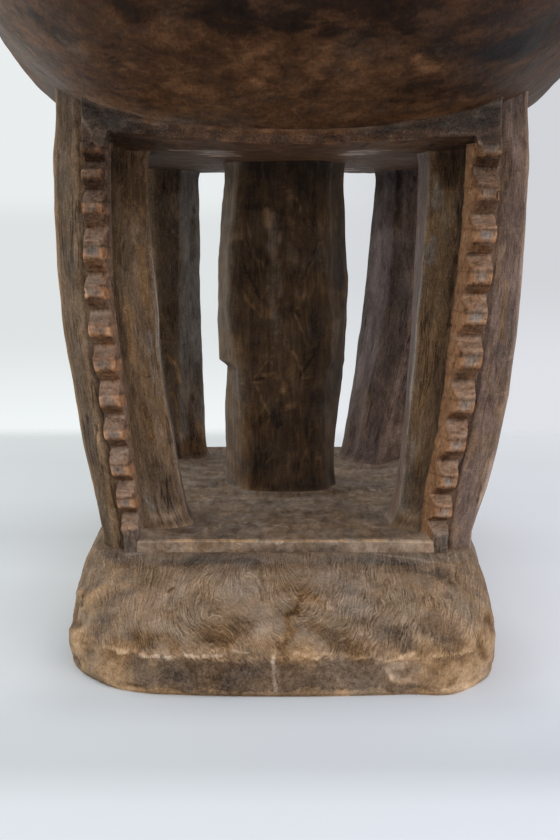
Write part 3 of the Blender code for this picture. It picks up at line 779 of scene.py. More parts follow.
LEG_RADII = (0.001, 0.0012, 0.0011, 0.0013, 0.003, 0.003, 0.0025, 0.003, 0.002, 0.0008, 0.0008)
LEG_STEPS = (8, 36, 36, 24, 24, 46, 14, 26, 10, 6, 8)
LEG_FOOT_SHARE, LEG_TOP_SHARE, LEG_ROWS = -0.06, 1.19, 258
LEG_BULGE_LOW, LEG_BULGE_HIGH = 0.0022, 0.0009
LEG_TOP_PULL_IN = 0.0016
LEG_FOOT_SWEEP, LEG_TOP_SWEEP = 0.0032, 0.0015
PANEL_HOLLOW = 0.0012
# How light and how warm each face is painted, in the order of leg_corners: the
# face's own tone together with painted light and shade for how light falls on it.
LEG_FACE_TONE_AND_SHADING = {
    "front_left_leg": (0.33, 0.405, 0.44, 0.36, 0.38, 0.44, 0.43, 0.355, 0.345, 0.34, 0.3),
    "front_right_leg": (0.37, 0.39, 0.63, 0.40, 0.38, 0.44, 0.47, 0.395, 0.36, 0.34, 0.3),
    "back_left_leg": (0.34, 0.34, 0.51, 0.34, 0.34, 0.42, 0.46, 0.44, 0.44, 0.34, 0.3),
    "back_right_leg": (0.40, 0.41, 0.52, 0.40, 0.33, 0.42, 0.46, 0.44, 0.44, 0.34, 0.3),
}
LEG_FACE_WARM = {
    "front_left_leg": (0.80, 0.78, 0.20, 0.50, 0.50, 0.50, 0.60, 0.56, 0.62, 0.4, 0.5),
    "front_right_leg": (1.00, 0.90, 0.20, 0.45, 0.50, 0.45, 0.35, 0.42, 0.52, 0.4, 0.5),
    "back_left_leg": (0.55, 0.65, 0.10, 0.64, 0.64, 0.50, 0.50, 0.45, 0.5, 0.4, 0.5),
    "back_right_leg": (0.45, 0.45, 0.02, 0.30, 0.40, 0.50, 0.50, 0.45, 0.5, 0.4, 0.5),
}
LEG_MARKS = {
    "front_left_leg": (
        (-90.5, -137, 112, -87.8, -136.5, 88, 0.8, 0.14, 0.5),
        (-91.5, -137, 112, -89, -136.5, 88, 0.9, -0.18, 0),
        (-95, -138, 163, -92.5, -138, 142, 0.9, -0.14, 0),
        (-98.5, -138, 205, -96, -138, 180, 0.8, 0.1, -0.2),
        (-87, -136.5, 85, -85, -133, 68, 1.2, -0.14, 0.1),
        (-77.5, -124, 125.5, -64, -110, 124.5, 0.6, -0.22, 0.1),
        (-69, -119, 93, -60, -109, 95, 0.6, -0.18, 0.1),
        (-70, -114, 185, -68, -113, 160, 3, 0.05, 0.45),
        (-76, -122, 158, -74, -122, 135, 2.6, 0.06, 0.7),
        (-66, -113, 145, -62, -112, 118, 3, 0.06, -0.5),
        (-70, -120, 112, -66, -119, 95, 3, -0.05, 0.3),
        (-64, -119, 85, -58, -115, 64, 5, 0, -0.1),
        (-69.5, -128, 69, -63, -119, 58, 1.2, 0.12, -0.6),
        (-63, -119, 58, -55, -110, 58, 1.2, 0.12, -0.6),
        (-80, -118, 230, -74, -115, 215, 10, -0.1, 0.25),
    ),
    "front_right_leg": (
        (70, -113, 219, 69, -112, 208, 4.2, 0.12, -0.55),
        (68, -113, 190, 66, -112, 180, 3.4, 0.06, -0.6),
        (74, -118, 230, 74, -118, 222, 8, -0.14, 0.3),
        (79, -124, 220, 75, -124, 150, 2.2, -0.12, 0.2),
        (74, -125, 145, 69, -128, 80, 1.4, -0.12, 0.2),
        (69, -118, 150, 64, -115, 110, 3, 0.05, 0.25),
        (60, -112, 90, 56, -111, 60, 3.5, 0.06, -0.45),
        (63, -122, 57, 68, -129, 62, 1.2, -0.16, 0.2),
        (90.5, -129, 76, 86.8, -127, 60, 1, -0.2, 0.1),
        # The next stroke is painted shade beside the teeth.
        (97.5, -140, 190, 88, -139, 105, 3, -0.05, -0.2),
        (86, -138, 80, 82, -137, 60, 4.5, -0.06, -0.2),
        (100, -130, 112, 96, -129, 98, 3.2, 0.05, 0.2),
        (95, -129, 85, 90, -129, 80, 2.8, 0.07, 0.2),
        (92.5, -127, 79, 89, -126, 62, 1.2, 0.15, 0.2),
        (98.5, -136, 150, 97.5, -134, 130, 1, -0.12, 0.1),
        (101, -133, 170, 99, -133, 145, 2.5, 0.03, 0.45),
        (105, -130, 205, 104.5, -130, 175, 0.8, -0.12, 0),
        (100, -136, 235, 100, -136, 215, 2, -0.1, 0.1),
    ),
    "back_left_leg": (
        (-75, 74.5, 118.5, -70, 80, 114, 1.6, 0.12, 1.2),
        (-69, 81, 114, -67.5, 84, 102, 1.8, 0.12, 1.2),
        (-71.6, 77.3, 95, -68.5, 82, 85, 2.2, 0.1, 1.2),
        (-68.5, 82, 76, -66, 85, 66, 2, 0.1, 1.2),
        (-66, 87, 59, -54.8, 103.9, 57, 4, 0.04, 1.2),
        (-68, 82, 54, -55, 103.9, 56, 10, -0.14, 0.4),
        (-57, 100, 72, -54, 104.5, 64, 3, 0.08, 1),
        (-61, 94.5, 90, -60, 95.5, 66, 3.4, -0.16, 0.2),
        (-57.5, 100, 150, -56.5, 101, 142, 5, -0.09, 0),
        (-56.5, 101, 108, -56, 101, 100, 5, -0.1, 0),
        (-70, 80, 215, -68, 83, 205, 3, 0.12, 0.1),
        (-70, 80, 195, -68, 83, 193, 1.2, 0.1, 0),
        (-58, 99, 200, -59, 99, 180, 4, -0.08, 0.1),
        (-58, 99, 150, -59, 99, 130, 5, 0.06, -0.3),
    ),
    "back_right_leg": (
        (62, 85, 230, 62, 85, 205, 10, -0.16, 0.1),
        (52, 86, 90, 45, 86, 70, 8, 0.08, 0.2),
        (59, 84, 130, 56, 84, 120, 6, 0.05, 0.1),
        (50, 98, 140, 46, 99, 100, 5, 0.1, -0.4),
        (56, 98, 190, 54, 98, 160, 5, 0.1, -0.4),
    ),
}


def face_values(station, values):
    """One value on each face of a section, changing within its rounded corners."""
    ends = np.arange(len(values) + 1)
    places = np.stack([ends - 0.06, ends + 0.06], axis=-1).ravel()
    looped = np.array([values[-1], *values, values[0]])
    return np.interp(station, places, np.stack([looped[:-1], looped[1:]], axis=-1).ravel())


def make_leg(name, seed):
    """Leg from below the deck up into the seat, with knife cuts along its faces, a sweep
    at its foot, and each face's own patina with painted light and shade on it."""
    leg = LEGS[name]
    share = np.linspace(LEG_FOOT_SHARE, LEG_TOP_SHARE, LEG_ROWS)
    corners = leg_corners(leg, share)
    outline, station = rounded(corners, LEG_RADII, LEG_STEPS, 6)
    height = DECK_TOP + share * (CEILING - DECK_TOP)
    grid = raised(outline, height)
    grain = unbent(grid, leg["side"] * leg_edges(leg, share)["crest"])
    normal = outward(grid)
    tall = share[:, None]
    panel = bell(station, 1.5, 0.40, 4) * np.ones_like(tall)
    panel_end = bell(tall, 0.030 + 0.10 * (station - 1.5) ** 2, 0.010)
    depth = 0.0006 * rough(grain, (0.016, 0.016, 0.05), seed)
    depth += 0.0003 * rough(grain, 0.009, seed + 1)
    depth += 0.0008 * (scoops(grain, (0.011, 0.013, 0.030), seed + 2) - 0.45)
    depth += 0.0002 * rough(grain, (0.002, 0.002, 0.02), seed + 5)
    depth -= PANEL_HOLLOW * panel * fade(tall, 0.02, 0.06)
    outer = fade(station, 4.6, 5.8) * fade(station, 8.4, 7.6)
    depth += (LEG_BULGE_HIGH + (LEG_BULGE_LOW - LEG_BULGE_HIGH) * fade(tall, 0.65, 0.30)) * outer
    depth -= LEG_TOP_PULL_IN * outer * fade(height, CEILING - 0.006, CEILING + 0.016)[:, None]
    foot = np.exp(-np.maximum(height - DECK_TOP, 0) / 0.0035)[:, None]
    top = np.exp(-np.maximum(CEILING - height, 0) / 0.0030)[:, None]
    inner = bell(station, 2.0, 1.9, 6)
    depth += (LEG_FOOT_SWEEP * foot + LEG_TOP_SWEEP * top) * inner
    grid = grid + normal * depth[..., None]
    worn = wear(grid, 3, 3, 0.00035)

    light, warm = marks(ragged(grid, 0.0018, 0.006, seed + 6), LEG_MARKS[name])
    wander = rough(grain, (0.01, 0.01, 0.02), seed + 7)
    panel_line = bell(station, 2.0, 0.05) + bell(station, 1.90 - 0.03 * wander, 0.025)
    panel_line = panel_line * fade(wander, -0.7, 0.2)
    panel_line = panel_line * fade(tall, 0.80, 0.60) * fade(tall, 0.06, 0.24)
    # A painted highlight along the crest, where the outer strip's edge catches the light; warmer on
    # the left legs.
    crest_highlight = bell(station, 7.0, 0.09)
    strip_line = bell(station, 8.50, 0.06) * fade(wander, -0.5, 0.3) * fade(tall, 0.3, 0.9)
    bevel = bell(station, 2.5, 0.35, 4) * fade(tall, 0.40, 0.10)
    # Painted shade in the hollow where the rail meets the panel.
    junction_shade = bell(station, 1.22 if leg["side"] > 0 else 1.05, 0.17)
    light += face_values(station, LEG_FACE_TONE_AND_SHADING[name])
    light += 0.05 * rough(grain, (0.02, 0.02, 0.06), seed + 3)
    light += 0.09 * np.maximum(worn, 0) - 0.06 * np.maximum(-worn, 0)
    # Lighter low down; the inner faces darker towards the top, as painted shade under the plate
    # together with soot.
    light += 0.04 * fade(tall, 0.35, 0.05) - 0.11 * fade(tall, 0.80, 1.0) * inner
    light += 0.20 * panel_line + 0.07 * crest_highlight + 0.15 * strip_line - 0.10 * bevel
    light += panel * (0.13 * panel_end - 0.07 * fade(tall, 0.05, 0.08) * fade(tall, 0.26, 0.14))
    # Darker above the ceiling, where the leg meets the seat: painted shade together with soot.
    light -= 0.08 * fade(height, CEILING + 0.008, CEILING + 0.028)[:, None]
    light -= 0.08 * junction_shade * fade(tall, 0.15, 0.40)
    light += 0.04 * (leg["side"] > 0) * outer * fade(tall, 0.32, 0.05)
    warm += face_values(station, LEG_FACE_WARM[name]) + 0.2 * rough(grain, 0.02, seed + 4)
    warm += 0.1 * np.maximum(worn, 0) + 0.35 * crest_highlight * (leg["side"] < 0) + 0.45 * bevel
    warm -= 0.18 * fade(tall, 0.30, 0.05) * inner + 0.45 * panel_line
    painted = {"grain": grain, "light": light, "warm": warm, "worn": worn}
    # Painted light: from the bevel round to the outer strip the right legs are tinted rosier,
    # standing in for the pinker light that falls on them from the right.
    rosy = fade(station, 2.0, 2.4) * (leg["side"] > 0) * np.ones_like(light)
    return skin(name + "_wood", grid, **painted, rosy=rosy)


def leg_finish():
    """Handled wood along the grain: long pale and dark streaks, fine cuts, few checks."""
    material, start, grain, light, warm, worn = start_finish("leg_wood")
    streaks = grain.stretched(1, 1, 0.28).cloud(0.0022, 5, 0.5)
    fibres = grain.stretched(1, 1, 0.22).cloud(0.0008, 3)
    blotch = grain.stretched(1, 1, 0.55).cloud(0.012, 5, 0.8)
    dust = grain.cloud(0.0009, 2)
    checks = grain.stretched(1, 1, 0.07).hairs(0.0045, 0.022)
    checks = checks * grain.stretched(1, 1, 0.4).cloud(0.012, 2).fade(0.50, 0.62)
    nicks = grain.stretched(0.5, 0.5, 1).hairs(0.0075, 0.016)
    nicks = nicks * grain.cloud(0.010, 2).fade(0.52, 0.62)
    value = light.mottled((streaks, 0.26), (fibres, 0.30), (blotch, 0.36), (dust, 0.26))
    value = value - checks * 0.13 + nicks * 0.08
    warmth = warm.mottled((grain.stretched(1, 1, 0.6).cloud(0.007, 4, 0.6), 0.7))
    height = streaks * 0.00022 + fibres * 0.00014 + dust * 0.00006
    height = height - checks * 0.0004 + nicks * 0.0002
    roughness = 0.72 - worn * 0.10 + (streaks - 0.5) * 0.2
    end_finish(start, value, warmth, roughness, height, rosy=start.painted("rosy"))
    return material


leg_wood = leg_finish()
for number, leg_name in enumerate(LEGS):
    leg_piece = make_leg(leg_name, 20 + 10 * number)
    leg_piece.data.materials.append(leg_wood)
    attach(leg_piece, "root")
    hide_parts(leg_name)

# Notched rails
# The outer end of each leg is cut into teeth with a knife: a steep cut under each
# tooth, then a hollow one down to the next. Hands have worn the teeth's corners
# to bare orange wood, and dirt stays in their middles. The cuts under the teeth,
# deep in the notches, are painted dark as shade, and the upward cuts paler as light.

TOOTH_DEPTH = 0.0080
RAIL_RADII = (0.0005, 0.0025, 0.0030, 0.0012, 0.0005)
RAIL_STEPS = (15, 16, 5, 8, 5)
TOOTH_ROWS = 560
TOOTH_ROUND = 0.0015
NICK_DEPTH = 0.0009
# What differs between the left rails and the right ones: the flank's lean low down
# and high up and its shift, how much lighter and warmer the teeth's inner and outer
# corners are, how light and warm the flank and the upward cuts are, and how light
# the teeth's middles, the topmost teeth and the flank beside them are. The light
# values are partly painted light and shade: the right rails' flanks face the left
# and are painted lit and warm, the left rails' flanks face the right and are
# painted in shade.
RAIL_SIDES = {
    -1: {
        "flank_lean": (0.0016, 0.0032), "flank_shift": 0.0,
        "corner_light": (0.13, 0.20), "corner_warm": (0.50, 0.15),
        "flank": (0.04, 0.05), "up": (0.11, -0.02),
        "centre": -0.03, "top": -0.17, "flank_top": -0.12,
    },
    1: {
        "flank_lean": (0.0048, 0.0048), "flank_shift": 0.0030,
        "corner_light": (0.08, 0.09), "corner_warm": (0.40, 0.50),
        "flank": (0.13, 1.00), "up": (0.14, 0.10),
        "centre": 0.09, "top": -0.13, "flank_top": 0.0,
    },
}
# Each notch's upper end, root and lower end, as shares of the rail's height.
ELEVEN_NOTCH_SHARES = (
    (0.990, 0.966, 0.944), (0.927, 0.899, 0.863), (0.846, 0.806, 0.776),
    (0.737, 0.695, 0.662), (0.640, 0.605, 0.569), (0.547, 0.520, 0.485),
    (0.460, 0.430, 0.392), (0.371, 0.343, 0.309), (0.288, 0.263, 0.225),
    (0.197, 0.176, 0.142), (0.114, 0.094, 0.060),
)
TEN_NOTCH_SHARES = (
    (0.984, 0.951, 0.911), (0.879, 0.840, 0.807), (0.778, 0.741, 0.708),
    (0.676, 0.645, 0.608), (0.576, 0.541, 0.505), (0.470, 0.429, 0.392),
    (0.358, 0.331, 0.293), (0.260, 0.229, 0.197), (0.167, 0.142, 0.118),
    (0.091, 0.073, 0.047),
)
RAILS = {
    "front_left_rail": ("front_left_leg", ELEVEN_NOTCH_SHARES),
    "front_right_rail": ("front_right_leg", TEN_NOTCH_SHARES),
    "back_left_rail": ("back_left_leg", TEN_NOTCH_SHARES),
    "back_right_rail": ("back_right_leg", ELEVEN_NOTCH_SHARES),
}


def notch_profile(notches):
    """Heights and depths down a rail's front: out to each tooth's edge, in to the
    root, round its curve and out again, with the corners softened, at even steps."""
    reach = CEILING - BASE_TOP
    stops = [(-0.004, 0.0)]
    for above, root, below in reversed(notches):
        stops += [(below * reach, 0.0), ((below + 3 * root) / 4 * reach, 0.85 * TOOTH_DEPTH)]
        stops += [(root * reach, TOOTH_DEPTH), (above * reach, 0.0)]
    stops.append((reach + 0.004, 0.0))
    line = np.array(stops)[None]
    radii = np.full(len(stops), TOOTH_ROUND)
    soft, station = rounded(line, radii, np.full(len(stops), 12), 6)
    soft = soft[0][(station > 0.05) & (station < len(stops) - 1.06)]
    run = np.concatenate([[0], np.cumsum(np.linalg.norm(np.diff(soft, axis=0), axis=-1))])
    at = np.linspace(0, run[-1], TOOTH_ROWS)
    return np.interp(at, run, soft[:, 0]), np.interp(at, run, soft[:, 1])


def make_rail(name, seed):
    """Rail whose section is cut back by the notches and whose flank leans to the
    middle, with dirt, painted light and shade, bare corners and pale cuts painted by
    where they lie on a tooth."""
    leg_name, notches = RAILS[name]
    leg = LEGS[leg_name]
    rise, cut = notch_profile(notches)
    height = BASE_TOP + rise
    share = (height - DECK_TOP) / (CEILING - DECK_TOP)
    edges = leg_edges(leg, share)
    side_cut = NOTCH_SIDE_CUT * cut / TOOTH_DEPTH
    own = RAIL_SIDES[leg["side"]]
    inner, outer = edges["rail_inner"] - own["flank_shift"], edges["rail"]
    low_lean, high_lean = own["flank_lean"]
    lean = (low_lean + (high_lean - low_lean) * fade(share, 0.45, 0.75)) * (1 - cut / RAIL_DEPTH)
    plan = (
        (inner, RAIL_DEPTH + 0.001),
        (inner + lean, cut),
        (outer - side_cut, cut),
        (outer, cut + NOTCH_SIDE_CUT + 0.001),
        (outer, RAIL_DEPTH + 0.001),
    )
    corners = sections([(x, FRAME_END - setback) for x, setback in plan])
    corners = corners * np.array([leg["side"], leg["end"]])
    outline, station = rounded(corners, RAIL_RADII, RAIL_STEPS, 7)
    grid = raised(outline, height)
    grain = unbent(grid, leg["side"] * edges["rail"])
    normal = outward(grid)
    depth = 0.0005 * rough(grid, 0.007, seed) + 0.00022 * rough(grid, 0.0025, seed + 1)
    depth -= NICK_DEPTH * fade(rough(grid, 0.006, seed + 2), 0.45, 0.8)
    grid = grid + normal * depth[..., None]
    plain = fade(share, 0.012, 0.040)[:, None]
    worn = wear(grid, 4, 2, 0.00042) * plain
    front = bell(station, 1.5, 0.75, 6) * np.ones_like(depth)
    up = front * fade(normal[..., 2], 0.25, 0.65)
    down = front * fade(-normal[..., 2], 0.25, 0.6)
    tooth = fade(cut, 0.0030, 0.0008)[:, None] * plain
    lower_edges = np.sort([above * (CEILING - BASE_TOP) for above, _, _ in notches] + [0.0])
    below = np.searchsorted(lower_edges, rise + 0.0012, side="right") - 1
    over = (rise - lower_edges[below])[:, None] + 0.0008 * rough(grid, 0.006, seed + 5)
    band = tooth * fade(over, 0.0044, 0.0030)
    brow = tooth * bell(over, 0.0046, 0.0005)
    root = front * fade(cut, 0.0048, 0.0070)[:, None]
    width = (outer - side_cut - inner - lean)[:, None]
    across = (np.abs(grid[..., 0]) - (inner + lean)[:, None]) / width
    topmost = fade(share, 0.80, 0.92)[:, None]
    centre = band * bell(across, 0.5, 0.34, 4) * (1 - 0.7 * topmost)
    flank = fade(np.abs(station - 0.55), 0.5, 0.3) * np.ones_like(depth)
    corners = np.stack([bell(across, 0, 0.16), bell(across, 1, 0.20)], axis=-1)
    corners = corners * (band * (1 - 0.8 * topmost))[..., None]
    edge = np.maximum(worn, 0) * (0.35 + 0.65 * band)
    # Painted light and shade: the downward cuts under the teeth darker as shade, the upward cuts
    # lighter as light, and the flanks lit or shaded by side from RAIL_SIDES.
    light = 0.45 + 0.06 * rough(grid, 0.008, seed + 3) - 0.10 * down + 0.07 * root - 0.08 * brow
    light += own["up"][0] * up + own["flank"][0] * flank + own["centre"] * centre
    light += 0.15 * edge - 0.10 * np.maximum(-worn, 0) - 0.05 * (1 - plain) * front
    light += corners @ own["corner_light"]
    light += own["flank_top"] * flank * fade(share, 0.65, 0.90)[:, None]
    light += own["top"] * front * fade(share, 0.78, 0.94)[:, None]
    warm = 0.52 + 0.12 * rough(grid, 0.010, seed + 6) + 0.40 * edge + 0.30 * down
    warm += corners @ own["corner_warm"] + own["up"][1] * up + own["flank"][1] * flank
    warm -= 0.12 * front * topmost + 0.30 * (1 - plain) + 0.32 * centre
    return skin(name + "_wood", grid, grain=grain, light=light, warm=warm, worn=worn)


def rail_finish():
    """Short end fibres on the cuts, dark pits, polish on the corners, over the painted shade in the
    notches.
    """
    material, start, grain, light, warm, worn = start_finish("rail_wood")
    fibres = grain.stretched(1, 1, 0.25).cloud(0.0011, 3, 0.4)
    cuts = grain.stretched(0.4, 0.4, 1).cloud(0.0010, 2)
    blotch = grain.cloud(0.005, 4, 0.6)
    pits = grain.stretched(1, 1, 0.35).hairs(0.0040, 0.022) * grain.cloud(0.006, 2).fade(0.5, 0.6)
    value = light.mottled((fibres, 0.34), (blotch, 0.30), (cuts, 0.24)) - pits * 0.10
    warmth = warm.mottled((grain.cloud(0.006, 3), 0.9))
    height = fibres * 0.00020 + blotch * 0.0003 + cuts * 0.00012 - pits * 0.0003
    end_finish(start, value, warmth, 0.74 - worn * 0.16 + (cuts - 0.5) * 0.1, height, OILED_WOOD)
    return material


rail_wood = rail_finish()
for number, rail_name in enumerate(RAILS):
    rail_piece = make_rail(rail_name, 70 + 10 * number)
    rail_piece.data.materials.append(rail_wood)
    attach(rail_piece, "root")
    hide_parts(rail_name)

# Centre column
# The faceted post between base and ceiling, darkened by smoke and grease. Its faces'
# tones are partly painted light and shade: darker on the front and right faces,
# paler on the left. A deep slip of the adze breaks its left side below the middle,
# and short pale and dark knife strokes cross its front.

COLUMN_HALF = 0.0405
COLUMN_FRONT = 0.020
COLUMN_BACK = 0.025
COLUMN_CROWN = 0.0012
COLUMN_SIDE_FLAT = 0.0083
COLUMN_STATION_SHARES = (0.0, 0.10, 0.25, 0.375, 0.395, 0.52, 0.65, 0.78, 0.90, 1.0)
COLUMN_EDGE_SHARES = (  # left, right, left facet and right facet
    (0.872, 0.88, 0.875, 0.85, 0.975, 1.0, 0.98, 0.935, 0.885, 0.865),
    (0.654, 0.675, 0.715, 0.765, 0.79, 0.825, 0.82, 0.79, 0.765, 0.77),
    (0.59, 0.60, 0.63, 0.665, 0.70, 0.785, 0.795, 0.765, 0.69, 0.64),
    (0.54, 0.49, 0.47, 0.53, 0.56, 0.60, 0.545, 0.54, 0.53, 0.535),
)
COLUMN_RADII = (0.004, 0.004, 0.005, 0.006, 0.005, 0.004, 0.004, 0.004, 0.006, 0.004)
COLUMN_STEPS = (10, 26, 26, 26, 26, 10, 24, 24, 24, 24)
COLUMN_ROWS = 232
COLUMN_FOOT_SWEEP, COLUMN_TOP_SWEEP = 0.0018, 0.0015
COLUMN_TOE_OUT, COLUMN_TOE_HALF = 0.0040, 0.024
# How light and how warm each face is painted, in the order of the plan in make_column:
# the face's own tone together with painted light and shade for how light falls on it.
COLUMN_FACE_TONE_AND_SHADING = (0.44, 0.43, 0.205, 0.195, 0.205, 0.26, 0.40, 0.36, 0.36, 0.40)
COLUMN_FACE_WARM = (0.45, 0.45, 0.90, 0.85, 0.85, 0.60, 0.35, 0.50, 0.50, 0.35)
COLUMN_MARKS = (
    (-8.5, -21, 205, -8, -21, 185, 3.2, 0.04, -0.2),
    (-8, -21, 192, -7.2, -21, 150, 3.8, 0.12, -0.4),
    (-7, -21, 150, -6, -21, 136, 2.2, 0.06, -0.3),
    (-4, -21, 214, -3.5, -21, 150, 1, -0.1, 0.1),
    (-8, -21, 222, 4, -21, 212, 0.9, 0.08, 0.2),
    (4, -21, 212, 7.5, -21, 198, 0.9, 0.08, 0.2),
    (-12, -21, 206, -10, -21, 197, 1.6, 0.14, 0.2),
    (-2, -21, 208, 6, -21, 188, 2, 0.05, 0.4),
    (18, -20, 192, 8, -21, 166, 0.7, 0.12, 0.1),
    (17, -20, 191, 7, -21, 165, 0.9, -0.1, 0),
    (-22, -20, 200, -14, -21, 168, 0.7, 0.08, 0.2),
    (-23, -20, 176, -15, -21, 158, 0.7, -0.1, 0),
    (-21, -20, 160, -12, -21, 150, 3, 0.05, 0.4),
    (0, -21, 165, 10, -21, 150, 3.5, 0.04, 0.5),
    (5, -21, 148, 12, -21, 128, 0.8, 0.1, 0.3),
    (14, -20, 128, 4, -21, 112, 0.8, -0.09, 0),
    (-17, -20, 114.5, -13, -21, 115, 0.8, -0.12, 0),
    (-26, -19, 111.5, -13, -21, 113, 0.6, 0.09, 0.2),
    (-13, -21, 116.5, -7, -21, 117.5, 1.2, 0.11, 0.4),
    (-7, -21, 117.5, -2, -21, 108, 1.3, 0.11, 0.4),
    (-2, -21, 108, -0.5, -21, 99, 1.3, 0.09, 0.4),
    (-1.5, -21, 96.5, 3, -21, 99.5, 1.8, 0.11, 0.1),
    (3, -21, 130, 8, -21, 118, 0.8, 0.1, 0.3),
    (8, -21, 116, 15, -20, 115.5, 0.8, 0.08, 0.2),
    (-8, -21, 95, -6, -21, 90, 3, -0.1, -0.5),
    (-30, -14, 99, -27, -15, 60, 5, -0.04, 0.2),
    (-24, -19, 90, -23, -19, 70, 3, 0.02, 0.35),
    (27, -12, 145, 25, -12, 65, 3.5, 0.07, -0.2),
)


def knife_strokes(count, seed):
    """Rows for marks: short slanting strokes over the column's front, pale or dark."""
    pick = np.random.default_rng(seed)
    start = pick.uniform((-27, -21, 62), (24, -21, 216), (count, 3))
    lean = pick.uniform(0.15, 0.80, count) * pick.choice((-1, 1), count)
    way = np.stack([lean, 0 * lean, np.ones(count)], axis=-1)
    run = pick.uniform(5, 17, count)[:, None] * way
    look = pick.uniform((0.5, -0.07, -0.3), (1.0, 0.12, 0.3), (count, 3))
    return np.hstack([start, start + run, look])


def make_column(seed):
    """Column with its facets hollowed by the adze, swept out at its foot."""
    share = np.linspace(-0.03, 1.03, COLUMN_ROWS)
    at = np.clip(share, 0, 1)
    left, right, facet_left, facet_right = (
        COLUMN_HALF * np.interp(at, COLUMN_STATION_SHARES, shares) for shares in COLUMN_EDGE_SHARES
    )
    middle = (facet_right - facet_left) / 2
    plan = (
        (-left, COLUMN_SIDE_FLAT), (-left, 0), (-facet_left, -COLUMN_FRONT),
        (middle, -COLUMN_FRONT - COLUMN_CROWN), (facet_right, -COLUMN_FRONT), (right, 0),
        (right, COLUMN_SIDE_FLAT), (facet_right, COLUMN_BACK),
        (middle, COLUMN_BACK + COLUMN_CROWN), (-facet_left, COLUMN_BACK),
    )
    outline, station = rounded(sections(plan), COLUMN_RADII, COLUMN_STEPS)
    height = DECK_TOP + share * (CEILING - DECK_TOP)
    grid = raised(outline, height)
    normal = outward(grid)
    depth = 0.0009 * rough(grid, (0.022, 0.022, 0.04), seed) + 0.0003 * rough(grid, 0.008, seed + 1)
    depth += 0.0012 * (scoops(grid, (0.017, 0.02, 0.030), seed + 2) - 0.5)
    foot = np.exp(-np.maximum(height - DECK_TOP, 0) / 0.004)[:, None]
    depth += COLUMN_FOOT_SWEEP * foot + COLUMN_TOP_SWEEP * foot[::-1]
    slip = bell(grid[..., 2], 0.1135, 0.0013) * fade(grid[..., 0], -0.008, -0.016)
    depth -= 0.0002 * slip * fade(grid[..., 1], 0, -0.01)
    grid = grid + normal * depth[..., None]
    toe = COLUMN_TOE_OUT * fade(height, DECK_TOP + 0.030, DECK_TOP)[:, None]
    toe = toe * np.maximum(0, 1 - (grid[..., 0] / COLUMN_TOE_HALF) ** 2)
    grid[..., 1] += np.sign(grid[..., 1]) * toe
    worn = wear(grid, 3, 3, 0.0004)
    strokes = [*COLUMN_MARKS, *knife_strokes(70, seed + 6)]
    light, warm = marks(ragged(grid, 0.0016, 0.006, seed + 3), strokes)
    side = fade(np.abs(normal[..., 0]), 0.35, 0.8)
    light += face_values(station, COLUMN_FACE_TONE_AND_SHADING)
    light += 0.05 * rough(grid, (0.02, 0.02, 0.04), seed + 4)
    light += 0.03 * np.maximum(worn, 0) - 0.06 * np.maximum(-worn, 0)
    light += 0.13 * foot * fade(height, DECK_TOP + 0.004, DECK_TOP)[:, None]
    light -= 0.06 * fade(share, 0.9, 1.0)[:, None]
    light -= 0.02 * fade(share, 0.3, 0.0)[:, None] * (1 - side)
    warm += face_values(station, COLUMN_FACE_WARM) + 0.25 * rough(grid, 0.018, seed + 5)
    return skin("column", grid, grain=grid, light=light, warm=warm, worn=worn)


def column_finish():
    """Smoke-dark wood with scratches across it and a soft polish."""
    material, start, grain, light, warm, worn = start_finish("column_wood")
    streaks = grain.stretched(1, 1, 0.22).cloud(0.0045, 5, 0.9)
    fibres = grain.stretched(1, 1, 0.12).cloud(0.0012, 3)
    blotch = grain.cloud(0.014, 5, 1.0)
    specks = grain.cloud(0.0010, 2)
    value = light.mottled((streaks, 0.30), (fibres, 0.20), (blotch, 0.30), (specks, 0.16))
    warmth = warm.mottled((grain.cloud(0.010, 4, 0.8), 1.0))
    height = streaks * 0.0003 + fibres * 0.0001 + specks * 0.0001
    end_finish(start, value, warmth, 0.66 - worn * 0.08 + (streaks - 0.5) * 0.2, height)
    return material


column = make_column(120)
column.data.materials.append(column_finish())
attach(column, "root")
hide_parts("centre_column")

# Crescent seat
# The log's upper half, hollowed lengthwise for the sitter and rounded like a boat
# below. Oil, smoke and hands have turned it a dark mottled red-brown with a low
# gloss. Along its sides the belly is painted paler as light, most on the left,
# and a little darker as shade on the right towards the ends.

SEAT_LENGTH = cad_high.y - cad_low.y
SEAT_HALF_WIDTH = 0.140
SEAT_END_NARROWING = 0.008
SEAT_END_CORNER = 0.024
SEAT_END_ROUND = 0.010
KEEL_DIP = 0.0028
KEEL_RISE = 0.0655
KEEL_POWER = 3.0
BELLY_FLANK_LIFT = 0.0437
BELLY_FLANK_RISE = 0.0480
BELLY_FLANK_POWER = 1.7
BELLY_LEAN = 0.0045
BELLY_ROUND_SHARE = 0.45
BELLY_FLARE_POWER = 6.5
SEAT_EDGE = 0.0140
SEAT_EDGE_BULGE = 0.0025
SEAT_TOP_LIFT = 0.0452
SEAT_TOP_RISE = 0.0530
SEAT_ROWS, SEAT_TIP_ROWS, SEAT_CAP_ROWS = 281, 12, 10
BELLY_STEPS, TOP_STEPS, SIDE_STEPS = 190, 82, 9
SEAT_WAVE = 0.0030
PLATE_LEAST = 0.0045


def belly_height(x, y, half_width):
    """Height of the boat-shaped belly: a keel line that rises to the ends, side
    lines above it, and a section that is round below and flares at the sides."""
    along = np.abs(y) / (SEAT_LENGTH / 2)
    across = np.abs(x) / half_width
    keel = CEILING - KEEL_DIP + KEEL_RISE * along ** KEEL_POWER
    flank = flank_height(x, y, half_width)
    roundness = BELLY_ROUND_SHARE * across ** 2
    roundness += (1 - BELLY_ROUND_SHARE) * across ** BELLY_FLARE_POWER
    return np.maximum(keel + (flank - keel) * roundness, CEILING + PLATE_LEAST)


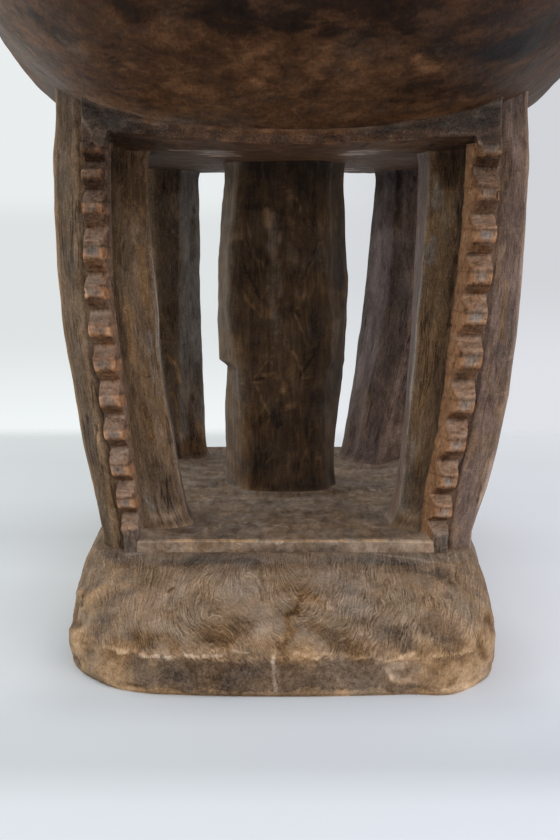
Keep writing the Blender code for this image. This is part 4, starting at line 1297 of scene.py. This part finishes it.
def flank_height(x, y, half_width):
    """Height of the belly's side line, which leans up to the left."""
    rise = BELLY_FLANK_RISE * (np.abs(y) / (SEAT_LENGTH / 2)) ** BELLY_FLANK_POWER
    return CEILING + BELLY_FLANK_LIFT + rise - BELLY_LEAN * x / half_width


def top_height(x, y, half_width):
    """Height of the dished top, which rises to its sides and to the seat's ends."""
    middle = CEILING + SEAT_TOP_LIFT + SEAT_TOP_RISE * (2 * np.abs(y) / SEAT_LENGTH) ** 2
    return middle + (flank_height(x, y, half_width) + SEAT_EDGE - middle) * (x / half_width) ** 2


def seat_spine(x, y, half_width):
    """Height halfway between the belly and the dished top."""
    held = np.clip(x, -half_width, half_width)
    return (belly_height(held, y, half_width) + top_height(held, y, half_width)) / 2


def seat_half_width(y):
    """Half the seat's width, narrowing to its ends, with round corners there."""
    half_length = SEAT_LENGTH / 2
    width = SEAT_HALF_WIDTH - SEAT_END_NARROWING * (np.abs(y) / half_length) ** 2
    into_corner = np.maximum(0, np.abs(y) - half_length + SEAT_END_CORNER)
    rest = np.maximum(0, SEAT_END_CORNER ** 2 - into_corner ** 2)
    return width - SEAT_END_CORNER + rest ** 0.5


def seat_grid():
    """Sections across the seat from end to end: belly, rounded side, dished top and
    rounded side again. Over the last centimetre they close in on the line halfway
    between belly and top, and each end is filled with smaller and smaller rings."""
    half_length = SEAT_LENGTH / 2
    run = np.linspace(-1, 1, SEAT_ROWS) * (half_length - SEAT_END_ROUND)
    turn = np.linspace(0, np.pi / 2, SEAT_TIP_ROWS + 1)[1:]
    tip = half_length - SEAT_END_ROUND * (1 - np.sin(turn))
    y = np.concatenate([-tip[::-1], run, tip])[:, None]
    half = seat_half_width(y)
    low_x = half * np.sin(np.linspace(-1, 1, BELLY_STEPS) * np.pi / 2)
    high_x = half * np.sin(np.linspace(1, -1, TOP_STEPS) * np.pi / 2)
    low, high = belly_height(low_x, y, half), top_height(high_x, y, half)
    angle = np.linspace(-np.pi / 2, np.pi / 2, SIDE_STEPS + 2)[1:-1]
    right_x = half + SEAT_EDGE_BULGE * np.cos(angle)
    right_z = (low[:, -1:] + high[:, :1]) / 2 + (high[:, :1] - low[:, -1:]) / 2 * np.sin(angle)
    left_x = -half - SEAT_EDGE_BULGE * np.cos(angle)
    left_z = (low[:, :1] + high[:, -1:]) / 2 - (high[:, -1:] - low[:, :1]) / 2 * np.sin(angle)
    x = np.concatenate([low_x, right_x, high_x, left_x], axis=1)
    z = np.concatenate([low, right_z, high, left_z], axis=1)
    into_tip = np.maximum(0, (np.abs(y) - half_length + SEAT_END_ROUND) / SEAT_END_ROUND)
    closing = np.maximum(1 - into_tip ** 4, 0) ** 0.25

    spine = seat_spine(x, y, half)
    z = spine + (z - spine) * (0.35 + 0.65 * closing)
    grid = np.stack([x, np.broadcast_to(y, x.shape), z], axis=-1)
    shrink = np.linspace(1, 0.03, SEAT_CAP_ROWS + 1)[1:, None]
    caps = []
    for row in (0, -1):
        cap_x = x[row] * shrink
        cap_z = seat_spine(cap_x, y[row], half[row]) + (z[row] - spine[row]) * shrink
        caps.append(np.stack([cap_x, np.broadcast_to(y[row], cap_x.shape), cap_z], axis=-1))
    return np.concatenate([caps[0][::-1], grid, caps[1]])


SEAT_MARKS = (
    (-26, -243, 275, -20, -240, 274, 10, -0.13, -0.09),
    (-4, -241, 273, 0, -240, 273, 6, -0.12, -0.11),
    (14, -236, 270, 17, -235, 270, 5, -0.13, -0.11),
    (26, -246, 277, 50, -246, 278, 8, -0.08, -0.05),
    (44, -236, 272, 47, -236, 272, 5, -0.09, -0.09),
    (73, -234, 274, 77, -232, 275, 6, -0.09, -0.05),
    (-62, -243, 279, -56, -240, 277, 8, -0.07, 0.1),
    (60, -214, 266, 86, -205, 268, 12, -0.11, -0.22),
    (34, -226, 273.5, 60, -226, 274.5, 11, -0.06, -0.05),
    (30, -212, 264, 37, -212, 265, 7, -0.08, 0),
    (84, -206, 268, 100, -205, 271, 12, -0.08, -0.15),
    (50, -180, 250, 75, -178, 252, 10, -0.07, 0.1),
    (-24, -224, 271, -20, -214, 264, 7, 0.07, 0.1),
    (-62, -228, 274.5, -42, -228, 273.5, 9, 0.06, -0.05),
    (-24, -206, 259, -18, -200, 256, 7, 0.07, 0.15),
    (60, -192, 257, 52, -187, 253, 8, -0.08, -0.18),
    (-8, -214, 260, -4, -205, 257, 3.2, 0.08, 0.6),
    (-9, -204, 257, -12, -196, 253, 3.6, 0.07, 0.7),
    (-50, -202, 259, -36, -196, 255, 8.5, 0.01, 0.3),
    (-45, -190, 253, -34, -187, 251, 6.5, 0.07, 0.5),
    (23, -216, 262, 26, -212, 260, 4, 0.06, 0.45),
    (52, -212, 263, 55, -203, 259, 4.5, 0.14, 0.4),
    (48, -194, 255, 50, -192, 254, 1.8, 0.15, -0.05),
    (10, -207, 257, 12, -203, 256, 4, 0.06, 0.4),
    (18, -226, 266, 21, -223, 265, 4, 0.07, -0.05),
    (-16, -214, 260, -12, -198, 254, 0.9, 0.1, 0),
    (-64, -214, 266, -70, -204, 264, 0.9, 0.1, -0.14),
    (-76, -212, 267, -66, -200, 261, 0.8, 0.1, -0.14),
    (-92, -210, 270, -86, -203, 266, 5, 0.08, -0.18),
    (-62, -206, 261, -58, -203, 260, 3.5, 0.1, -0.05),
    (-70, -206, 264, -68, -204, 263, 2, -0.12, -0.14),
    (-100, -215, 276, -92, -208, 271, 6, -0.09, -0.09),
    (95, -196, 266, 110, -190, 272, 10, -0.05, -0.14),
    (-90, -150, 252, -45, -150, 244, 3.5, 0.05, -0.05),
)


def make_seat(seed):
    """Seat with shallow adze marks along its belly and its stains painted on; the
    far end has the same stains, turned half round."""
    grid = seat_grid()
    normal = outward(grid)
    below = fade(-normal[..., 2], -0.05, 0.25)
    depth = 0.0010 * rough(grid, (0.03, 0.06, 0.03), seed) + 0.0003 * rough(grid, 0.012, seed + 1)
    depth += below * 0.0008 * (scoops(grid, (0.020, 0.034, 0.020), seed + 2) - 0.5)
    from_end = SEAT_LENGTH / 2 - np.abs(grid[..., 1])
    grid = grid + normal * (depth * fade(from_end, 0, 0.01))[..., None]
    grid[..., 2] += SEAT_WAVE * below * bell(np.abs(grid[..., 0]), 0.112, 0.016)
    worn = wear(grid, 2, 2, 0.0006)
    turned = to_near_end(grid)
    light, warm = marks(ragged(turned, 0.0050, 0.012, seed + 3), SEAT_MARKS)
    light, warm = light * below, warm * below
    along = np.abs(grid[..., 1])
    # Painted light along the belly's sides: paler on both near the middle, paler and greyer on the
    # left side towards the ends, where it turns to the light, and a little darker there on the
    # right side as painted shade.
    edge = fade(np.abs(turned[..., 0]), 0.060, 0.120) * below
    left = 0.5 + (fade(-turned[..., 0], 0.0, 0.06) - 0.5) * fade(along, 0.01, 0.10)
    light += 0.238 + 0.05 * rough(grid, 0.030, seed + 4) + 0.05 * rough(grid, 0.012, seed + 6)
    light += 0.05 * (1 - below) + edge * (0.15 * left - 0.03)
    light -= 0.08 * below * fade(grid[..., 2], 0.264, 0.280) * (1 - edge)
    seam = belly_height(grid[..., 0], grid[..., 1], SEAT_HALF_WIDTH) - CEILING
    by_lintel = below * fade(along, 0.10, 0.14)
    dust = by_lintel * fade(along, 0.172, 0.150) * fade(turned[..., 0], 0.0, -0.04)
    light += 0.05 * by_lintel * fade(seam, 0.024, 0.008) * fade(turned[..., 0], 0.06, -0.02)
    light += 0.03 * dust
    warm += 0.98 + 0.22 * rough(grid, 0.025, seed + 5) - 0.35 * dust
    warm -= 0.42 * edge * (0.1 + 0.9 * left)
    painted = {"grain": grid, "light": light, "warm": warm, "worn": worn}
    return skin("crescent_seat", grid, **painted, dust=dust)


def seat_finish():
    """Oiled red-brown wood: mottles of smoke and scraping, fine long grain, a low gloss."""
    material, start, grain, light, warm, worn = start_finish("seat_wood")
    mottle = grain.cloud(0.013, 5, 1.2)
    small = grain.cloud(0.0055, 4, 0.8)
    fibres = grain.stretched(1, 0.08, 1).cloud(0.0016, 4, 0.3)
    pores = grain.stretched(1, 0.2, 1).cloud(0.0009, 2)
    value = light.mottled((mottle, 0.28), (small, 0.24), (fibres, 0.12), (pores, 0.16))
    value = value + start.painted("dust") * grain.cloud(0.0013, 2).fade(0.48, 0.62) * 0.08
    warmth = warm.mottled((grain.cloud(0.013, 5, 0.9), 1.0))
    height = fibres * 0.00012 + small * 0.00025 + pores * 0.00008
    roughness = 0.60 + (mottle - 0.5) * 0.25 + (pores - 0.5) * 0.1 - worn * 0.05
    end_finish(start, value, warmth, roughness, height, OILED_WOOD)
    return material


seat = make_seat(140)
seat.data.materials.append(seat_finish())
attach(seat, "root")
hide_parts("seat")

# Ceiling plate
# The slab that the legs and the column grow into, under the seat's belly. Its end
# faces are lintels, arched below and worn pale along the seam with the seat, and
# its underside has a polish, with painted highlights where it catches the light
# from the floor.

LINTEL_LIFT = 0.0070
LINTEL_CHAMFER = 0.026
LINTEL_MIDDLE_SHARE = 0.15
LINTEL_ARCH_POWER = 1.4
PLATE_INSET = 0.0030
PLATE_SHORT_OF_RAIL = 0.0004
PLATE_SWEEP = 0.0022
PLATE_STEPS = 2 * (8, 14, 6, 110, 6, 14, 8, 230)
PLATE_RADII = 2 * (0.0016, 0.003, 0.004, 0.006, 0.006, 0.004, 0.003, 0.0016)
UNDER_ROWS, WALL_ROWS, INSIDE_ROWS = 62, 25, 8
PLATE_MARKS = (
    (-94.5, -146, 247, -88.5, -146, 237, 0.8, 0.15, -0.2),
    (-95, -146, 252, -94.5, -146, 243, 1.2, 0.14, 0.2),
    (-88, -146, 246, -70, -146, 243, 4, -0.02, -0.1),
    (-70, -146, 244, -30, -146, 240, 1.6, 0.09, 0.1),
    (-30, -146, 240, 30, -146, 239, 1.6, 0.08, 0.1),
    (30, -146, 239, 68, -146, 243, 3, -0.05, -0.2),
    (75, -146, 244, 90, -146, 246, 6, -0.03, -0.2),
    (84.5, -146, 235, 88.5, -146, 229, 1, 0.14, 0),
    (96, -146, 240, 97.5, -146, 251, 1.2, 0.14, 0),
    (68, -146, 244.5, 66.2, -140, 237, 0.9, -0.34, 0),
    (66.2, -140, 237, 65.5, -128, 233, 0.9, -0.28, 0),
    (36.8, -146, 240, 35.6, -140, 234.5, 0.9, -0.3, 0),
    (35.6, -140, 234.5, 34, -128, 232, 0.9, -0.26, 0),
    (-0.5, -146, 238.5, -1, -140, 233, 0.5, -0.14, 0),
    # The pale strokes from here on lie on the underside and are painted highlights where its polish
    # catches the light.
    (-56, -121, 232, -30, -119, 232, 1.2, 0.4, -0.5),
    (-43, -112, 232, -29, -114, 232, 2.2, 0.36, -0.5),
    (-38, -100, 232, -29, -102, 232, 3.6, 0.34, -0.5),
    (-41, -85, 232, -30, -88, 232, 4, 0.44, -0.5),
    (-36, -70, 232, -28, -72, 232, 5, 0.46, -0.5),
    (32, -119, 232, 48, -118, 232, 1.2, 0.4, -0.5),
    (30, -108, 232, 43, -109, 232, 2.4, 0.42, -0.5),
    (29, -94, 232, 40, -96, 232, 3.4, 0.46, -0.5),
    (29, -78, 232, 35, -80, 232, 4.5, 0.4, -0.5),
    (25, -126, 232, 40, -125, 232, 1, -0.14, 0),
    (-48, 50, 232, -36, 64, 232, 14, 0.3, -0.4),
    (30, 40, 232, 43, 55, 232, 12, 0.24, -0.4),
)


def plate_corners():
    """The plate's outline, the same way round as the legs' tops: flush with the rails
    at its ends, and a little inside the legs' faces at its sides."""
    plan = []
    order = ("front_right_leg", "back_right_leg", "back_left_leg", "front_left_leg")
    for turn, name in enumerate(order):
        leg = LEGS[name]
        edges = leg_edges(leg, 1.0)
        side = [
            (edges["rail"] - PLATE_SHORT_OF_RAIL, FRAME_END),
            (edges["rail"] - PLATE_SHORT_OF_RAIL, FRAME_END - LEG_STRIP_SETBACK - PLATE_INSET),
            (edges["crest"] - PLATE_INSET, FRAME_END - LEG_CREST_SETBACK - PLATE_INSET),
            (edges["crest"] - PLATE_INSET, FRAME_END - LEG_CREST_SETBACK - LEG_STRIP_SETBACK),
        ]
        side = [(leg["side"] * float(x), leg["end"] * y) for x, y in side]
        plan.extend(side if turn % 2 == 0 else reversed(side))
    return np.array(plan)[None]


def lintel_lift(x, y):
    """How far the arch lifts the plate's underside: most by the rails, least in the
    middle, and only over the chamfer at each end."""
    lift = np.zeros_like(x)
    right = 1 - 0.30 * fade(x, 0.0, 0.06)
    for end, word in ((-1, "front"), (1, "back")):
        left_end, right_end = (
            side * float(leg_edges(LEGS[f"{word}_{name}_leg"], 1.0)["rail_inner"])
            for side, name in ((-1, "left"), (1, "right"))
        )
        share = (x - left_end) / (right_end - left_end)
        arch = np.abs(2 * share - 1) ** LINTEL_ARCH_POWER
        arch = LINTEL_MIDDLE_SHARE + (1 - LINTEL_MIDDLE_SHARE) * arch
        slope = np.clip((end * y - FRAME_END + LINTEL_CHAMFER) / LINTEL_CHAMFER, 0, 1)
        lift += right * LINTEL_LIFT * arch * slope * fade(np.abs(share - 0.5), 0.505, 0.497)
    return lift


def plate_grid():
    """Rings over the underside from the middle out, up the edge, and in again inside
    the seat. The edge sweeps out a little where it meets the belly."""
    outline, _ = rounded(plate_corners(), PLATE_RADII, PLATE_STEPS)
    closing = (np.linspace(0.03, 1, UNDER_ROWS) ** 0.8)[:, None, None]
    under = outline * closing
    low = CEILING + lintel_lift(under[..., 0], under[..., 1])
    seam = belly_height(outline[..., 0], outline[..., 1], SEAT_HALF_WIDTH)
    up = np.linspace(0, 1, WALL_ROWS + 1)[1:, None]
    wall_z = low[-1:] + (seam + 0.003 - low[-1:]) * up
    wall = np.repeat(outline, WALL_ROWS, axis=0)
    sweep = PLATE_SWEEP * np.exp(-np.maximum(seam - wall_z, 0) / 0.0016)
    arm = wall / np.linalg.norm(wall, axis=-1, keepdims=True)
    end = fade(np.abs(wall[..., 1]), FRAME_END - 0.002, FRAME_END - 0.0005)
    sweep = sweep * np.maximum(end, fade(np.abs(wall[..., 1]), 0.066, 0.050))
    push = np.where(end[..., None] > 0.5, arm * np.array([0, 1]), arm * np.array([1, 0]))
    wall = wall + push * sweep[..., None]
    inside = outline * np.linspace(0.97, 0.1, INSIDE_ROWS)[:, None, None]
    closing = np.linspace(0, 1, INSIDE_ROWS)[:, None]
    inside_z = seam * (1 - closing) + (CEILING + 0.02) * closing
    plan = np.concatenate([under, wall, inside])
    z = np.concatenate([low, wall_z, inside_z + 0.003])
    return np.concatenate([plan, z[..., None]], axis=-1)


def make_plate(seed):
    """Plate with knife cuts on its lintels and a smoother, waved underside with painted highlights.
    """
    grid = plate_grid()
    normal = outward(grid)
    rings = np.arange(len(grid))[:, None]
    shown = fade(rings, len(grid) - INSIDE_ROWS - 1, len(grid) - INSIDE_ROWS - 4)
    depth = 0.0005 * rough(grid, 0.016, seed) + 0.0003 * rough(grid, 0.006, seed + 1)
    depth += 0.0005 * (scoops(grid, (0.022, 0.02, 0.02), seed + 2) - 0.5)
    grid = grid + normal * (depth * shown)[..., None]
    worn = wear(grid, 2, 2, 0.0004)
    across = np.abs(grid[..., 0])
    face = fade(np.abs(normal[..., 2]), 0.75, 0.3)
    under = 1 - face
    beside = face * fade(across, 0.045, 0.075)
    light, warm = marks(ragged(to_near_end(grid), 0.0008, 0.004, seed + 5), PLATE_MARKS)
    # Painted highlights on the underside where its polish catches the light from the floor, and a
    # little more painted light on its right half.
    glint = bell(across, 0.036, 0.012) * bell(grid[..., 1], -0.098, 0.030)
    light += 0.28 + 0.04 * rough(grid, 0.02, seed + 3) - 0.01 * face - 0.01 * beside
    light += under * (0.08 * glint + 0.06 * fade(grid[..., 0], 0, 0.03))
    light -= under * 0.09 * fade(across, 0.055, 0.075)
    light += 0.04 * np.maximum(worn, 0) * face - 0.08 * np.maximum(-worn, 0)
    light += 0.07 * fade(np.abs(normal[..., 0]), 0.6, 0.9)
    warm += 0.70 + 0.16 * rough(grid, 0.016, seed + 4) - 0.30 * beside
    warm += 0.30 * under * fade(across, 0.030, 0.015)
    painted = {"grain": grid, "light": light, "warm": warm, "worn": worn}
    return skin("ceiling_plate", grid, **painted, soffit=under * (0.35 + 0.65 * glint))


def plate_finish():
    """Brown wood, dusty on the lintels and rubbed to a gloss underneath."""
    material, start, grain, light, warm, worn = start_finish("plate_wood")
    soffit = start.painted("soffit")
    streaks = grain.stretched(0.25, 1, 1).cloud(0.0030, 5, 0.5)
    blotch = grain.cloud(0.010, 5, 0.8)
    dust = grain.cloud(0.0009, 2)
    cuts = grain.stretched(1, 0.5, 1).hairs(0.0080, 0.018)
    cuts = cuts * grain.cloud(0.012, 2).fade(0.48, 0.58)
    value = light.mottled((streaks, 0.30), (blotch, 0.36)) + cuts * 0.08
    value = value + (dust - 0.5) * 0.34 * (1 - soffit * 0.6)
    warmth = warm.mottled((grain.cloud(0.009, 4, 0.6), 0.8))
    height = streaks * 0.0005 + dust * 0.00012 + blotch * 0.0006 * soffit + cuts * 0.0002
    roughness = 0.74 - soffit * 0.26 - worn * 0.08 + (streaks - 0.5) * 0.3
    end_finish(start, value, warmth, roughness, height, OILED_WOOD, 0.15)
    return material


plate = make_plate(160)
plate.data.materials.append(plate_finish())
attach(plate, "root")
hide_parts("top_plate")

# Floor, light and camera
# A pale floor whose far edge fades into the pale room behind, one soft light from
# the upper left, a weaker one from the right, and the camera low before one end.

FLOOR_COLOUR = (0.722, 0.775, 0.800)
FLOOR_LEFT_TINT = (1.02, 1.00, 0.98)
FLOOR_RIGHT_TINT = (1.02, 0.99, 1.00)
FLOOR_START, FLOOR_REACH = -0.40, 1.10
FLOOR_FADE = (0.53, 0.62)
FLOOR_ROUND_FADE = (1.1, 1.6)
# Rows of the floor's colour: place along Y, tone on the left, tone on the right, and
# the share of blue. The tones are partly painted light: paler round the stool and
# to its right, where they offset the stool's own shadow.
FLOOR_PAINTED_LIGHT_TONES = (
    (-0.33, 1.05, 1.09, 1.04), (-0.295, 0.90, 0.90, 1.04), (-0.25, 0.94, 1.01, 1.04),
    (-0.20, 1.03, 1.15, 1.04), (-0.10, 1.12, 1.30, 1.03), (0.00, 1.27, 1.34, 1.03),
    (0.10, 1.08, 1.22, 1.02), (0.23, 1.10, 1.09, 1.01), (0.40, 1.00, 1.01, 1.00),
    (0.60, 0.99, 1.03, 0.98),
)
FOOT_SHADE = 0.14
ROOM_LEFT_TINT = (0.96, 1.00, 1.005)
ROOM_RIGHT_TINT = (0.98, 1.00, 1.05)
FLOOR_HALF_WIDTH, FLOOR_NEAR = 2.6, -2.2
SHADED_HALF_WIDTH, SHADE_REACH = 0.080, 0.045
EVEN_LIGHT = (0.757, 0.768, 0.780)
CAMERA_PLACE = (-0.0027, -0.786, 0.1925)
FRAME_HEIGHT_PX = 840
FOCAL_PX = 1400.0
CENTRE_PX = (280, 420)
VANISHING_PX = (283, 235)


def make_floor():
    """A flat sheet under the stool, from well before it to a little behind it."""
    side, near, far = FLOOR_HALF_WIDTH, FLOOR_NEAR, FLOOR_FADE[1]
    corners = [(-side, near, 0), (side, near, 0), (side, far, 0), (-side, far, 0)]
    mesh = bpy.data.meshes.new("floor")
    mesh.from_pydata(corners, [], [(0, 1, 2, 3)])
    floor = bpy.data.objects.new("floor", mesh)
    bpy.context.scene.collection.objects.link(floor)
    return floor


def floor_finish():
    """Matt ground, paler round the stool and a little paler to the right as painted light
    that offsets the stool's shadow, with painted shade close to the stool's foot, and
    fading out behind it."""
    material = bpy.data.materials.new("pale_floor")
    material.use_nodes = True
    start = Wire(material.node_tree, None)
    place = start.add("TexCoord", {}, 3)
    back = (place.along(1) - FLOOR_START) / FLOOR_REACH
    ramps = []
    for column, tint in ((1, FLOOR_LEFT_TINT), (2, FLOOR_RIGHT_TINT)):
        stops = []
        for row in FLOOR_PAINTED_LIGHT_TONES:
            colour = row[column] * np.multiply(tint, FLOOR_COLOUR) * (1, row[3] ** 0.4, row[3])
            stops.append(((row[0] - FLOOR_START) / FLOOR_REACH, tuple(colour)))
        ramps.append(start.add("ValToRGB", {0: back}, stops=stops))
    colour = start.mix(place.along(0).fade(-0.12, 0.14), *ramps)
    beside = (place.along(0).maths("ABSOLUTE") - SHADED_HALF_WIDTH).maths("MAXIMUM", 0)
    before = (place.along(1).maths("ABSOLUTE") - BASE_HIGH.y).maths("MAXIMUM", 0)
    near = ((beside * beside + before * before) ** 0.5).fade(SHADE_REACH, 0.0)
    colour = start.mix(1.0, colour, 1 - near * FOOT_SHADE, blend_type="MULTIPLY")
    away = (place.along(0) * place.along(0) + place.along(1) * place.along(1)) ** 0.5
    edge = place.along(1).fade(*FLOOR_FADE[::-1]) * away.fade(*FLOOR_ROUND_FADE[::-1])
    shader = start.tree.nodes["Principled BSDF"]
    start.tree.links.new(colour.socket, shader.inputs["Base Color"])
    start.tree.links.new(edge.socket, shader.inputs["Alpha"])
    shader.inputs["Roughness"].default_value = 0.9
    shader.inputs["Specular IOR Level"].default_value = 0.1
    return material


def add_light(name, place, aim, size, power, colour):
    """A square soft light at a place, turned to face a point."""
    lamp = bpy.data.lights.new(name, "AREA")
    lamp.size, lamp.energy, lamp.color = size, power, colour
    holder = bpy.data.objects.new(name, lamp)
    ray = np.array(aim) - np.array(place)
    pitch = np.arctan2(np.hypot(ray[0], ray[1]), -ray[2])
    holder.rotation_euler = (pitch, 0, np.arctan2(ray[1], ray[0]) - np.pi / 2)
    holder.location = place
    bpy.context.scene.collection.objects.link(holder)


def make_world():
    """Soft even light from all round. Where the camera looks it is a pale room, paler
    low down and overhead, and a little darker and bluer to the right."""
    world = bpy.data.worlds.new("studio")
    world.use_nodes = True
    start = Wire(world.node_tree, None)
    ray = start.add("TexCoord", {}, 0)
    up, right = ray.along(2), ray.along(0).fade(-0.06, 0.12)
    left_level = 0.768 + up.fade(-0.06, -0.14) * 0.15 + up.fade(0.005, 0.030) * 0.08
    right_level = 0.655 + up.fade(-0.02, -0.10) * 0.10
    level = left_level + (right_level - left_level) * right
    tint = start.mix(right, (*ROOM_LEFT_TINT, 1), (*ROOM_RIGHT_TINT, 1))
    room = start.mix(1.0, tint, level, blend_type="MULTIPLY")
    colour = start.mix(start.add("LightPath", {}, 0), (*EVEN_LIGHT, 1), room)
    world.node_tree.links.new(colour.socket, world.node_tree.nodes["Background"].inputs["Color"])
    bpy.context.scene.world = world


floor = make_floor()
floor.data.materials.append(floor_finish())
add_light("window_left", (-1.6, 0.20, 0.80), (0, 0, 0.12), 3.0, 16, (1.0, 0.985, 0.94))
add_light("window_right", (0.9, -1.6, 0.85), (0, 0, 0.12), 2.6, 25, (1.0, 0.935, 0.99))
make_world()

camera = bpy.data.objects.new("camera", bpy.data.cameras.new("camera"))
camera.data.sensor_width = 36
camera.data.lens = FOCAL_PX / FRAME_HEIGHT_PX * camera.data.sensor_width
camera.location = CAMERA_PLACE
pitch = np.arctan((CENTRE_PX[1] - VANISHING_PX[1]) / FOCAL_PX)
yaw = np.arctan((VANISHING_PX[0] - CENTRE_PX[0]) / FOCAL_PX)
camera.rotation_euler = Euler((np.pi / 2 - pitch, 0, yaw))
bpy.context.scene.collection.objects.link(camera)
bpy.context.scene.camera = camera
bpy.context.scene.view_settings.view_transform = "Standard"
